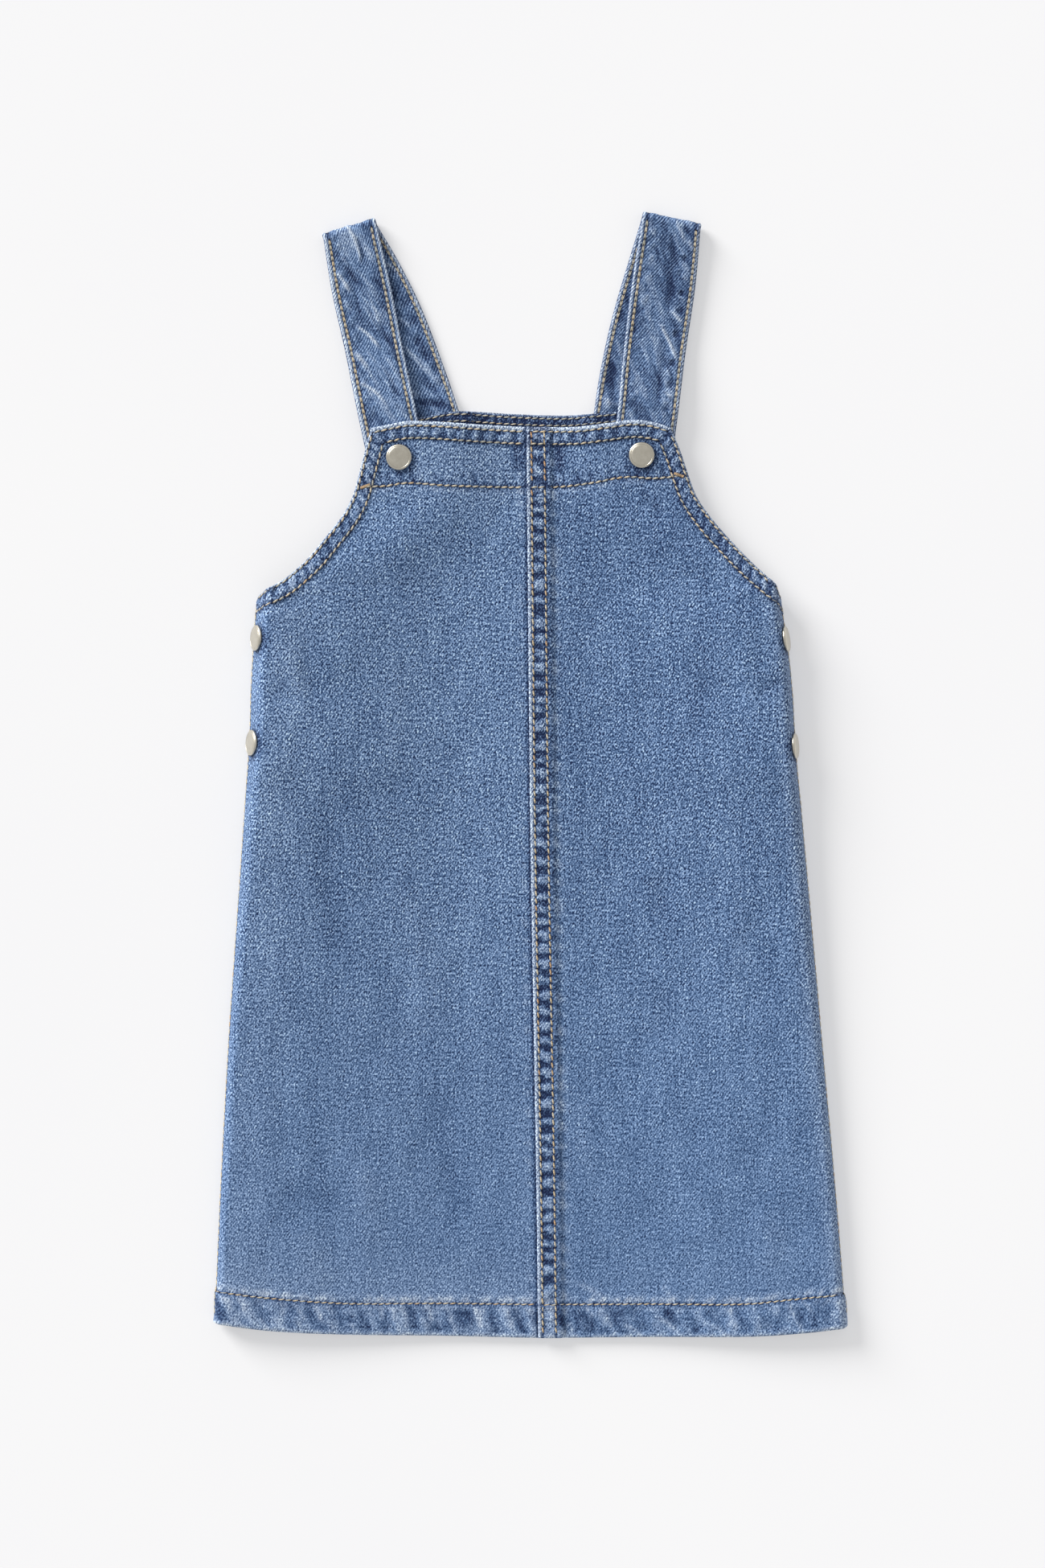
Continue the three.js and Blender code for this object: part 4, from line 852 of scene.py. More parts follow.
# On the left back stretch, the deep trough across the strap's base near y 180 carries painted shadow where the strap
# goes in under the back's top.
STRAP_BACK_CREASES = {
    "left": ((-69.4, 247.9, -62.4, 241.2, 0.4, 0.9, 0.8), (-64.3, 221.7, -58.5, 217.8, 0.2, 0.9, 0.5), (-60, 206, -52, 196, 0.4, 1.0, 0.4),
             (-53.5, 181, -40, 179.2, 0, 1.7, -1.2), (-70, 240, -66, 230, 0.2, 1.4, -0.5), (-55, 212, -50, 202, 0, 1.6, -0.4)),
    "right": ((38.5, 205, 40.5, 190, 0, 2.0, -0.6), (37, 181, 42, 179.5, 0, 1.2, 0.6), (43, 232, 45, 222, 0, 1.3, -0.4)),
}
BACK_CREASES = (
    (-96, 60, -60, 40, 3, 6.0, 0.5), (-70, -20, -64, -90, -4, 8.0, 0.5), (20, 70, 60, 48, -4, 7.0, 0.5),
    (80, 20, 74, -60, 4, 8.0, 0.45), (-20, -120, -12, -190, 3, 8.0, 0.4), (50, -140, 60, -210, 3, 8.0, 0.45),
    (-110, -150, -100, -220, 3, 8.0, 0.4), (-30, 130, -10, 96, 3, 6.0, 0.4), (30, 130, 24, 100, -3, 6.0, 0.4),
)


def crease_relief(creases, p, y):
    """The height of soft creases, each fading towards its ends."""
    total = np.zeros_like(p)
    for x0, y0, x1, y1, bow, width, height in creases:
        length = math.hypot(x1 - x0, y1 - y0)
        ux, uy = (x1 - x0) / length, (y1 - y0) / length
        along = (p - x0) * ux + (y - y0) * uy
        t = along / length
        aside = -(p - x0) * uy + (y - y0) * ux - bow * (1 - (2 * t - 1) ** 2)
        fade = ease(-0.3, 0.2, t) * (1 - ease(0.8, 1.3, t))
        uneven = 1 + 0.25 * cloud(along, aside * 0, 9.0, int(abs(x0 * 7 + y0)))
        total += height * uneven * fade * np.exp(-((aside / width) ** 2))
    return total


def front_marks(side, p, y):
    """What the seams and the wash have done to a front panel: outer relief, wear and unworn dye."""
    sign = side["sign"]
    x = np.clip(p, HEM[0][0], HEM[0][-1])
    ds = p - seam_x(y)
    above_edge, above_line = y - smooth(HEM, 1, x), y - smooth(HEM, 2, x)
    arm_y = steps(ARMHOLES[0][0], ARMHOLES[0][-1], 0.2)
    arm, arm_along = line_distance(np.stack([sign * smooth(ARMHOLES, side["column"], arm_y), arm_y], axis=1), p, y)
    top_x = steps(BIB_TOP[0][0], BIB_TOP[0][-1], 0.2)
    top, top_along = line_distance(np.stack([top_x, smooth(BIB_TOP, 1, top_x)], axis=1), p, y)
    fold = fold_at(side, y)
    lap = fold["start"] + fold["length"] - sign * p
    facing = y - smooth(FACING_LINE, 1, p)
    in_bib = band(p, FACING_LINE[0][0], FACING_LINE[0][-1], 1)
    inner = ds if side is RIGHT else UNDER_WIDTH - ds
    turned = np.minimum(arm, top)
    uncovered = np.ones_like(p) if side is RIGHT else 1 - ease(-1, 0.5, ds)

    lift = HEM_LIFT * (1 - ease(-STEP_WIDTH / 2, STEP_WIDTH / 2, above_line))
    lift = np.maximum(lift, EDGE_LIFT * (1 - ease(EDGE_BAND, EDGE_BAND + STEP_WIDTH, turned)))
    relief, wear, dark = lift * uncovered, np.zeros_like(p), np.zeros_like(p)

    # hem: slanting ropes between the edge and its stitch line, worn along both
    beat = puckers(x, above_edge, 12.5, 0.4, 11)
    zone = band(above_edge, 2.2, 14.2, 1.3) * uncovered
    relief += zone * 0.3 * beat + groove(above_line) * uncovered
    comb = 0.6 + 0.9 * cloud(x - 0.7 * y, y * 0.3, 1.7, 13)
    blotch = cloud(x + 0.3 * y, y * 0.4, 3.4, 15)
    fine = cloud(x + 0.3 * y, y * 0.5, 1.5, 16)
    sharp = np.clip(crease_relief(HEM_STREAKS, p, y), 0, 1) * uncovered
    relief += 0.2 * sharp
    wear += zone * (0.26 * ease(0.1, 0.9, beat) + 0.24 * ease(0.1, 0.7, fine)) + 0.55 * sharp
    wear += 0.7 * comb * ridge(above_line - 1.9, 1.9)
    wear += 0.5 * (0.6 + comb) * ridge(above_edge - 0.4, 1.5) + 0.22 * comb * ridge(above_line + 2.0, 1.3)
    # painted shadow along the hem's stitch line
    dark += 0.9 * ridge(above_line, 1.1) * uncovered
    dark += zone * (0.3 * ease(0.0, 0.7, -beat) + 0.5 * ease(0.05, 0.55, blotch) + 0.2 * ease(0.1, 0.7, -fine)) * (1 - sharp)

    # armhole and bib top: two rows of stitches, drawn up between them
    beat = puckers(arm_along, arm, 5.2, 0.7, 21, 1.6)
    near_arm = ease(-3, 3, top - arm)
    zone = band(arm, 1.9, 6.9) * near_arm * uncovered
    relief += zone * 0.22 * beat + (groove(arm - 1.3, 0.18) + groove(arm - 7.5)) * near_arm * uncovered
    wear += zone * 0.42 * ease(0.0, 0.7, beat) + 0.85 * ridge(arm - 0.4, 1.0)
    dark += zone * (0.08 + 0.62 * ease(0.0, 0.6, -beat))
    # painted shadow along the armhole's two stitch rows
    dark += 0.85 * (ridge(arm - 1.3, 0.9) + ridge(arm - 7.5, 1.1)) * near_arm * uncovered
    beat = puckers(top_along, top, 6.4, 0.2, 31, 2.2)
    near_top = (1 - near_arm) * uncovered
    zone = band(top, 2.9, 7.6) * near_top
    relief += zone * 0.22 * beat + (groove(top - 2.3) + groove(top - 8.2)) * near_top
    wear += zone * 0.3 * ease(0.0, 0.8, beat) + 0.95 * band(top, -1, 1.7, 0.5) * near_top
    dark += zone * 0.62 * ease(0.0, 0.7, -beat)
    # painted shadow along the bib top's two stitch rows
    dark += 0.9 * (ridge(top - 2.5, 0.8) + ridge(top - 8.2, 1.1)) * near_top

    # the facing's line across the bib: unworn above it, worn just below
    beat = puckers(p, facing, 5.0, 0.3, 41)
    zone = band(facing, 1.0, 6.0, 0.9) * in_bib * uncovered
    relief += groove(facing) * in_bib * uncovered + zone * 0.15 * beat
    # the dark along the facing's stitch line itself is painted shadow
    dark += zone * 0.6 * ease(0.1, 0.8, -beat) + 0.95 * ridge(facing, 1.1) * in_bib * uncovered
    wear += 0.42 * ridge(facing + 1.9, 1.3) * in_bib * (0.6 + 0.9 * cloud(p, y * 0.5, 2.6, 42))
    wear += 0.05 * ridge(facing + 7, 5) * in_bib * (1 + cloud(p + 0.4 * y, y * 0.3, 2.4, 43)) + zone * 0.12 * ease(0.1, 0.9, beat)

    # centre seam
    if side is RIGHT:
        beat = puckers(y, ds, 7.4, 0.1, 51, 2.0)
        zone = band(ds, 2.9, 8.2, 0.5)
        relief += zone * 0.28 * beat + groove(ds - 2.3) + groove(ds - 8.7) + 0.12 * ridge(ds - 0.8, 0.8)
        at_hem = 1 - ease(-262, -246, y)
        wear += 0.9 * band(ds, -1, 1.5, 0.4) + zone * np.maximum(0.5 * ease(-0.1, 0.6, beat), 0.42 * at_hem)
        dark += zone * ease(-0.2, 0.5, -beat) * (1 - 0.9 * at_hem)
        # painted shadow along the seam's two stitch rows
        dark += 0.9 * ridge(ds - 2.3, 0.8) + 0.85 * ridge(ds - 8.7, 0.8)
        beside = puckers(y, ds, 9.0, 0.3, 61)
        wear += 0.5 * ridge(ds - 12.8, 2.6) * ease(-0.3, 0.7, beside)
        dark += 0.5 * ridge(ds - 10.4, 1.0) * ease(0.3, 0.9, -beside)
        dark += 0.8 * ridge(ds - 15.5, 3.0) * band(y, 147, 161, 2)
    else:
        # painted shadow beside the lap's edge, where the right front lies over the left
        dark += 0.8 * ridge(ds + 0.35, 0.6) + 0.25 * ridge(ds + 1.2, 1.2)
        beside = puckers(y, ds, 8.0, 0.2, 71)
        wear += 0.3 * ridge(ds + 3.0, 1.6) * ease(-0.2, 0.8, beside)
        dark += 0.8 * ridge(ds + 4.5, 3.0) * band(y, 147, 161, 2)

    # the wash has paled the creases and left their troughs
    worn_crease = crease_relief(FRONT_CREASES, p, y)
    wear += np.clip(worn_crease, 0, 0.6) * 0.24 * (0.7 + 0.5 * cloud(p, y, 2.0, 73))
    dark += np.clip(-worn_crease, 0, 0.6) * 0.35
    wear += 0.13 * ease(-4, 4, facing) * in_bib + 0.045 * (side is LEFT)
    # it is paler towards the hem and down the left edge, and darker on the right half above
    low = 1 - ease(0, 42, above_line)
    if side is LEFT:
        wear += 0.15 * low + 0.08 * ease(-34, -8, sign * p - fold["start"]) * (1 - ease(70, 110, y))
        wear -= 0.2 * ease(-3, 3, sign * p - fold["start"])
    else:
        wear += 0.04 * low + 0.22 * ease(-8, 2, sign * p - fold["start"])
        dark += 0.11 * ease(-150, -20, y) + 0.04 * ease(100, 125, y)

    # side fold: the roll is a little paler, and the lap is stitched at its edge
    wear += 0.22 * band(sign * p, fold["start"] + 1, fold["start"] + fold["upper"], 4) * (0.7 if side is RIGHT else 1.1)
    wear += 0.7 * ridge(lap - 0.4, 0.9)
    relief += groove(lap - 2.4, 0.18)

    # cloth pressed down round the snaps, with painted shadow: a soft dark ring set off towards the lower right, and a
    # thin dark outline round each cap
    for _, stud_side, stud_p, stud_y in stud_places():
        if stud_side is side:
            reach = np.hypot(p - stud_p, y - stud_y)
            relief *= ease(5.5, 9.5, reach)
            dark += 0.4 * ridge(np.hypot(p - stud_p - 0.8, y - stud_y + 1.1) - 6.2, 2.2) + 0.35 * ridge(reach - 6.7, 0.8)
    relief += 0.05 * cloud(p, y, 3.1, 81) * uncovered
    edge = np.minimum.reduce([above_edge, turned, inner, lap])
    return relief, np.clip(wear, 0, 1), np.clip(dark, 0, 1), edge


def stud_places():
    for name, side, p, y in FRONT_STUDS:
        yield name, side, p, y
    for name, side, y in SIDE_STUDS:
        fold = fold_at(side, y)
        yield name, side, side["sign"] * float(fold["start"] + fold["upper"] + fold["flat"] / 2), y


def front_shell(side):
    p, y, _, faces = front_cut(side)
    x, z = front_point(side, p, y)
    middle = np.stack([x, y, z], axis=1)
    relief, wear, dark, edge = front_marks(side, p, y)
    fold = fold_at(side, y)
    free = ease(14, 40, from_seam(side, p, y)) * (1 - ease(126, 138, y)) * (1 - ease(-4, 4, side["sign"] * p - fold["start"]))
    drift = 0.30 * cloud(p, y * 0.45, 16.0, 91) + 0.16 * cloud(p, y, 8.0, 92)
    lie = crease_relief(FRONT_CREASES, p, y) * np.maximum(free, 0.25 * ease(98, 108, y)) + drift * free
    middle += normals_of(middle, faces) * (lie * ease(0, 6, edge))[:, None]
    left = rounded(edge, CLOTH + 0.5)
    outer = (CLOTH / 2 + relief) * left
    still = np.zeros_like(p)
    marks = {"wear": (wear, 0.5 * wear), "dark": (dark, still)}
    return Shell(f"front_{side['name']}", np.stack([p, y], axis=1), middle, faces, outer, CLOTH / 2 * left, marks)


def back_shell():
    p, y, sign, faces = back_cut()
    x, z = back_point(LEFT, p, y)
    right_x, right_z = back_point(RIGHT, p, y)
    x, z = np.where(sign > 0, right_x, x), np.where(sign > 0, right_z, z)
    middle = np.stack([x, y, z], axis=1)
    faces = faces[:, ::-1]
    hem_x = np.clip(p, HEM[0][0], HEM[0][-1])
    above_edge = y - smooth(HEM, 1, hem_x) - BACK_HEM_SHORTER
    above_line = y - smooth(HEM, 2, hem_x)
    arm, arm_along, lap = (np.full_like(p, 1e3) for _ in range(3))
    for side in (LEFT, RIGHT):
        here = sign == side["sign"]
        arm_y = steps(BACK_ARMHOLES[0][0], BACK_ARMHOLES[0][-1], 0.2)
        line = np.stack([side["sign"] * smooth(BACK_ARMHOLES, side["column"], arm_y), arm_y], axis=1)
        arm[here], arm_along[here] = line_distance(line, p[here], y[here])
        curl = back_curl(side, y[here])
        lap[here] = curl["start"] + curl["arc"] + curl["fold"]["length"] - curl["stop"] - np.abs(p[here])
    top_x = steps(BACK_TOP[0][0], BACK_TOP[0][-1], 0.2)
    top, top_along = line_distance(np.stack([top_x, smooth(BACK_TOP, 1, top_x)], axis=1), p, y)
    near_arm = ease(-3, 3, top - arm)
    beat_hem = puckers(hem_x, above_edge, 12.5, 0.45, 111)
    beat_arm = puckers(arm_along, arm, 7.5, 0.2, 121)
    beat_top = puckers(top_along, top, 8.0, 0.1, 131)
    hem_zone, arm_zone = band(above_edge, 2.2, 14, 1.3), band(arm, 1.9, 6.9) * near_arm
    top_zone = band(top, 2, 8) * (1 - near_arm)
    # the outer face lies on the table, so what the seams draw up goes inwards
    press = 0.16 * (1 - beat_hem) * hem_zone + 0.12 * (1 - beat_arm) * arm_zone + 0.12 * (1 - beat_top) * top_zone
    press -= groove(above_line, 0.3) + (groove(arm - 1.3, 0.3) + groove(arm - 7.5, 0.3)) * near_arm
    press -= (groove(top - 2.3, 0.3) + groove(top - 8.2, 0.3)) * (1 - near_arm)
    press += crease_relief(BACK_CREASES, p, y) * ease(4, 14, np.minimum(arm, top)) + 0.05 * (1 + cloud(p, y, 3.0, 141))
    wear = 0.75 * ridge(above_edge - 0.5, 1.3) + 0.5 * ridge(above_line - 2.4, 2.0) + 0.8 * ridge(np.minimum(arm, top) - 0.4, 0.9)
    wear += 0.5 * hem_zone * ease(0, 0.8, beat_hem) + 0.3 * arm_zone * ease(0, 0.8, beat_arm)
    dark = 0.6 * hem_zone * ease(0, 0.8, -beat_hem) + 0.5 * arm_zone + 0.5 * top_zone * ease(0, 0.8, -beat_top)
    edge = np.minimum.reduce([above_edge, arm, top, lap])
    left = rounded(edge, CLOTH)
    outer = (CLOTH / 2 - np.clip(press, 0, 0.75)) * left
    still = np.zeros_like(p)
    marks = {"wear": (np.clip(wear, 0, 1), still), "dark": (np.clip(dark, 0, 1), 0.2 + still)}
    shell = Shell("back", np.stack([p, y], axis=1), middle, faces, outer, CLOTH / 2 * left, marks)
    shell.twill_turned = (-1.0, -1.0)
    return shell


def facing_shell():
    tall = steps(0, 1, 1.2 / 36)
    wide = steps(0, 1, 1.6 / 136)
    ends = np.array([0, 0.12, 0.4, 0.9])
    tall = np.unique(np.concatenate([ends / 36, tall, 1 - ends / 36]))[:, None]
    wide = np.unique(np.concatenate([ends / 136, wide, 1 - ends / 136]))[None, :]
    top_x = mix(FACING_TOP_ENDS[0], FACING_TOP_ENDS[1], wide)
    x = mix(mix(FACING_BOTTOM_ENDS[0], FACING_BOTTOM_ENDS[1], wide), top_x, tall)
    y = mix(FACING_BOTTOM_Y, smooth(BACK_TOP, 1, top_x) - FACING_SET_BACK, tall)
    cut = Cut()
    cut.join(cut.grid(x, y))
    x, y, _, faces = cut.close()
    beside = [ease(b[0] - BASE_RISE, b[0], x) * (1 - ease(b[1], b[1] + BASE_RISE, x)) for b in STRAP_BASES]
    raised = np.maximum(*beside) * ease(BASE_RISE_Y[0], BASE_RISE_Y[1], y)
    z = CLOTH + GAP + FACING / 2 + (STRAP + GAP) * raised
    middle = np.stack([x, y, z], axis=1)
    top = smooth(BACK_TOP, 1, x) - FACING_SET_BACK - y
    beat = puckers(x, top, 5.5, 0.2, 151)
    zone = band(top, 0.8, 6.5, 0.5)
    relief = zone * 0.16 * beat + groove(top - 1.3, 0.18, 0.6) + groove(top - 4.6, 0.18, 0.6) + 0.04 * cloud(x, y, 3, 152)
    side_edge = np.minimum(x - mix(FACING_BOTTOM_ENDS[0], FACING_TOP_ENDS[0], (y - 139) / 33),
                           mix(FACING_BOTTOM_ENDS[1], FACING_TOP_ENDS[1], (y - 139) / 33) - x)
    edge = np.maximum(0, np.minimum.reduce([top, y - FACING_BOTTOM_Y, side_edge]))
    left = rounded(edge, FACING)
    wear = 0.5 * ridge(top - 0.4, 0.7) + zone * 0.35 * ease(0.1, 0.9, beat)
    # the dark along the two stitch rows is painted shadow
    dark = zone * (0.15 + 0.6 * ease(0, 0.8, -beat)) + 0.6 * (ridge(top - 1.3, 1.0) + ridge(top - 4.6, 1.0))
    still = np.zeros_like(x)
    marks = {"wear": (np.clip(wear, 0, 1), still), "dark": (np.clip(dark, 0, 1), still)}
    return Shell("back_facing_cloth", np.stack([x, y], axis=1), middle, faces, (FACING / 2 + relief) * left,
                 FACING / 2 * left, marks)


def strap_rows(side, width, v, shoulder_v):
    """Where the two rows of stitches lie on a strap, from its left edge, at places along it."""
    (back_left, back_right), (front_left, front_right) = side["rows"]
    share = ease(shoulder_v - 9, shoulder_v + 9, v)
    return mix(back_left, front_left, share), width - mix(back_right, front_right, share)


def strap_shell(side):
    """A strap: up the back, over a crease at the shoulder, down the front and in behind the bib."""
    name, seed = side["name"], 160 if side is LEFT else 170
    offsets = np.concatenate([[0, 0.15, 0.45, 0.9], steps(1.4, 14.5, STRAP_STEP)])
    across = np.concatenate([offsets, 29 - offsets[-2::-1]]) / 29
    rungs = []

    def edges(rows, share):
        at = [float(smooth(rows, k, share)) for k in (1, 2, 3, 4)]
        return np.array(at[:2]), np.array(at[2:])

    def rung(ends, height, push=(0, 0)):
        flat = ends[0] + (ends[1] - ends[0]) * across[:, None] + np.array(push)
        z = height(flat[:, 1]) if callable(height) else np.full(len(across), height)
        rungs.append(np.column_stack([flat, z]))

    def back_z(y):
        return mix(STRAP_BASE_Z, STRAP / 2, ease(STRAP_DROP[0], STRAP_DROP[1], y))

    def front_z(y):
        tucked = edge_level(y) - CLOTH / 2 - GAP - STRAP / 2
        return np.where(y > STRAP_HEIGHTS[0][0], smooth(STRAP_HEIGHTS, 1, y), tucked)

    end_shares = [0, 0.0012, 0.004, 0.009]
    back_shares = end_shares + list(steps(0.018, 0.985, STRAP_STEP / 105))
    for share in back_shares:
        rung(edges(STRAP_BACK[name], share), back_z)
    left, right = edges(STRAP_FRONT[name], 0)
    outward = np.array([left[1] - right[1], right[0] - left[0]])
    outward /= np.hypot(*outward)
    for turn in steps(0, math.pi, math.pi / SHOULDER_STEPS):
        rung((left, right), STRAP / 2 + STRAP_FOLD_RADIUS * (1 - math.cos(turn)),
             outward * STRAP_FOLD_RADIUS * math.sin(turn))
    for share in list(steps(0.014, 0.985, STRAP_STEP / 130)) + [1 - k for k in end_shares[::-1]]:
        rung(edges(STRAP_FRONT[name], share), front_z)
    points = np.array(rungs)
    middle_line = points.mean(axis=1)
    v = np.concatenate([[0], np.cumsum(np.linalg.norm(np.diff(middle_line, axis=0), axis=1))])
    width = np.linalg.norm(points[:, -1] - points[:, 0], axis=1).mean()
    u = across * width
    cut = Cut()
    numbers = cut.grid(np.broadcast_to(u, (len(v), len(u))), np.broadcast_to(v[:, None], (len(v), len(u))))
    cut.join(numbers, True)
    faces = cut.faces[0]
    p, y = cut.p[0], cut.y[0]
    middle = points.reshape(-1, 3)
    from_edge = np.minimum(p, width - p)
    which = np.where(p < width / 2, 0, 40)
    beat = puckers(y + which, from_edge, 8.0, 0.9, seed)
    zone = band(from_edge, 1.0, 9.0, 1.2)
    shoulder_v = v[len(back_shares) + SHOULDER_STEPS // 2]
    lean = np.where(y < shoulder_v, 0.5, -0.5)
    aside, down = p + lean * y, y - lean * p
    diagonal = 0.7 * cloud(aside / 3.4, down / 15.0, 1.0, seed + 3) + 0.5 * cloud(aside / 1.7, down / 9.0, 1.0, seed + 5)
    diagonal = np.clip(1.5 * diagonal, -1, 1) * band(from_edge, 3.4, 30, 1.5)
    behind = y < shoulder_v
    creases = np.where(behind, crease_relief(STRAP_BACK_CREASES[name], middle[:, 0], middle[:, 1]),
                       crease_relief(STRAP_CREASES[name], middle[:, 0], middle[:, 1])) * band(from_edge, 2.0, 30, 1.0)
    rows = strap_rows(side, width, y, shoulder_v)
    to_row = np.minimum(np.abs(p - rows[0]), np.abs(p - rows[1]))
    relief = zone * 0.16 * beat + 0.18 * diagonal + 0.7 * np.clip(creases, -1, 1) - 0.2 * ridge(to_row, 0.75)
    relief += 0.12 * ridge(from_edge - 1.0, 0.8) + 0.1 * (1 - ease(7.0, 8.4, from_edge))
    wear = 0.95 * band(from_edge, 0.1, 1.5, 0.4) + zone * 0.16 * ease(0.1, 0.9, beat) + 0.36 * ease(0.1, 0.8, diagonal)
    wear += 0.95 * np.clip(creases, 0, 1)
    if side is LEFT:
        wear += 0.6 * band(p, 0.6, 2.0, 0.3) * (y > shoulder_v)
    # the dark along both stitch rows is painted shadow
    dark = zone * 0.24 * ease(0.1, 0.9, -beat) + 0.36 * ease(0.1, 0.8, -diagonal) + 0.9 * ridge(to_row, 1.1)
    # the dark line at the very edge is painted shade where the strap's side turns under; the crease troughs' dark is
    # unworn dye, and at the left strap's base painted shadow
    dark += 0.85 * np.clip(-creases, 0, 1.2) + 0.9 * (1 - ease(0.1, 0.5, from_edge))
    end = np.minimum(y, v[-1] - y)
    shoulder = ease(0, 1, v[-1] - y) * band(y, v[-1] * 0.43, v[-1] * 0.5, 4)
    wear = wear + 0.05 * shoulder
    dark = dark + (0.2 if side is RIGHT else 0.04) + 0.02 * behind
    edge = np.minimum(from_edge, end)
    tucked = 1 - ease(168, 176, middle[:, 1])
    relief = relief * (1 - 0.85 * tucked)
    left_over = rounded(edge, STRAP)
    # the stretch up the back lies on its outer face, and the front stretch on the other
    outer = (STRAP / 2 + np.where(behind, np.minimum(relief, 0), relief)) * left_over
    inner = (STRAP / 2 + np.where(behind, relief, np.minimum(relief, 0.1))) * left_over
    marks = {"wear": (np.clip(wear, 0, 1), np.clip(wear, 0, 1)), "dark": (np.clip(dark, 0, 1), np.clip(dark, 0, 1))}
    shell = Shell(f"shoulder_strap_{name}", np.stack([p, y], axis=1), middle, faces, outer, inner, marks)
    shell.wrong_side = 0.0  # both plies have their right side out
    shell.twill_turned = (-1.0, 1.0)
    shell.width, shell.length, shell.shoulder = width, v[-1], shoulder_v
    return shell


# ---------------------------------------------------------------- stitches

STITCH_PITCH = 3.47
STITCH_LENGTH = 3.3
STITCH_RADIUS = 0.42
STITCH_SLANT = 0.3  # how far each end is off the row
STITCH_RINGS = ((0.0, 0.5, -0.26), (0.17, 0.9, 0.02), (0.5, 1.0, 0.12), (0.83, 0.9, 0.02), (1.0, 0.5, -0.26))
STITCH_SIDES = 6
HOLE_RADIUS = 0.6
CHAIN_PITCH = 2.9
CHAIN_LENGTH = 3.3
CHAIN_SPREAD = 0.46
CHAIN_RADIUS = 0.28


class Stitching:
    """The stitches of one cloth piece, as one mesh of short bowed threads and, between them, pits of painted shade."""

    def __init__(self, name, seed):
        self.name, self.points, self.faces, self.kinds, self.tones, self.uvs = name, [], [], [], [], []
        self.random = np.random.default_rng(seed)

    def stitch(self, a, b, normal, tone, radius=STITCH_RADIUS):
        """One thread from a to b, rising between them."""
        axis = b - a
        side = axis.normalized().cross(normal)
        up = side.cross(axis.normalized())
        base = len(self.points)
        for t, thick, rise in STITCH_RINGS:
            centre = a + axis * t + up * rise
            for k in range(STITCH_SIDES):
                angle = 2 * math.pi * k / STITCH_SIDES
                spoke = side * math.cos(angle) + up * (0.8 * math.sin(angle))
                self.points.append(centre + spoke * radius * thick)
                self.tones.append(tone)
                self.uvs.append((t, k / STITCH_SIDES))
        for ring in range(len(STITCH_RINGS) - 1):
            for k in range(STITCH_SIDES):
                one, two = base + ring * STITCH_SIDES + k, base + ring * STITCH_SIDES + (k + 1) % STITCH_SIDES
                self.faces.append((one, one + STITCH_SIDES, two + STITCH_SIDES, two))
                self.kinds.append(0)
        end = base + (len(STITCH_RINGS) - 1) * STITCH_SIDES
        self.faces.append(tuple(base + k for k in range(STITCH_SIDES)))
        self.faces.append(tuple(end + k for k in reversed(range(STITCH_SIDES))))
        self.kinds += [0, 0]

    def hole(self, at, normal, forward):
        """A small pit of painted shade: a flat, closed, dark lens that just shows."""
        side = forward.cross(normal).normalized()
        base = len(self.points)
        for spot in (at + normal * 0.07, at - normal * 0.2):
            self.points.append(spot)
        for k in range(STITCH_SIDES):
            angle = 2 * math.pi * k / STITCH_SIDES
            self.points.append(at - normal * 0.03 + (forward * math.cos(angle) * 1.25 + side * math.sin(angle)) * HOLE_RADIUS)
        self.tones += [0.0] * (2 + STITCH_SIDES)
        self.uvs += [(0.0, 0.0)] * (2 + STITCH_SIDES)
        for k in range(STITCH_SIDES):
            one, two = base + 2 + k, base + 2 + (k + 1) % STITCH_SIDES
            self.faces += [(base, two, one), (base + 1, one, two)]
            self.kinds += [1, 1]

    def row(self, shell, line, face="outer", gold=0.35, pitch=STITCH_PITCH, sink=0.0, radius=STITCH_RADIUS):
        """Stitches along a line drawn on the cut."""
        line = np.asarray(line, float)
        along = np.concatenate([[0], np.cumsum(np.hypot(*np.diff(line, axis=0).T))])
        count = int(along[-1] // pitch)
        at = lambda s: (np.interp(s, along, line[:, 0]), np.interp(s, along, line[:, 1]))
        for k in range(count):
            start = k * pitch + (along[-1] - count * pitch) / 2 + self.random.uniform(-0.12, 0.12)
            length = STITCH_LENGTH * self.random.uniform(0.92, 1.06)
            (p0, y0), (p1, y1) = at(start), at(start + length)
            aside = np.array([-(y1 - y0), p1 - p0]) * (STITCH_SLANT / length)
            a, normal = shell.place(p0 - aside[0], y0 - aside[1], face)
            b, _ = shell.place(p1 + aside[0], y1 + aside[1], face)
            pit, _ = shell.place(*at(start + (length + pitch) / 2), face)
            a, b, pit = (q - normal * sink for q in (a, b, pit))
            tone = float(np.clip(self.random.normal(gold, 0.2), 0, 1))
            self.stitch(a, b, normal, tone, radius)
            self.hole(pit, normal, (b - a).normalized())

    def chain(self, shell, line, face, gold, sink=0.0):
        """Chain stitches along a line: each loop opens into two legs."""
        along = np.concatenate([[0], np.cumsum(np.hypot(*np.diff(line, axis=0).T))])
        at = lambda s: np.array([np.interp(s, along, line[:, 0]), np.interp(s, along, line[:, 1])])
        for start in np.arange(0.3, along[-1] - CHAIN_PITCH, CHAIN_PITCH):
            start = start + self.random.uniform(-0.1, 0.1)
            foot, head = at(start), at(start + CHAIN_LENGTH)
            aside = np.array([foot[1] - head[1], head[0] - foot[0]]) / CHAIN_LENGTH
            tone = float(np.clip(self.random.normal(gold, 0.15), 0, 1))
            for way in (-1, 1):
                a, normal = shell.place(*(foot + aside * 0.12 * way), face)
                b, _ = shell.place(*(head + aside * CHAIN_SPREAD * way), face)
                self.stitch(a - normal * sink, b - normal * sink, normal, tone, CHAIN_RADIUS)
            pit, normal = shell.place(*at(start + CHAIN_LENGTH * 0.8), face)
            self.hole(pit - normal * sink, normal, (b - a).normalized())

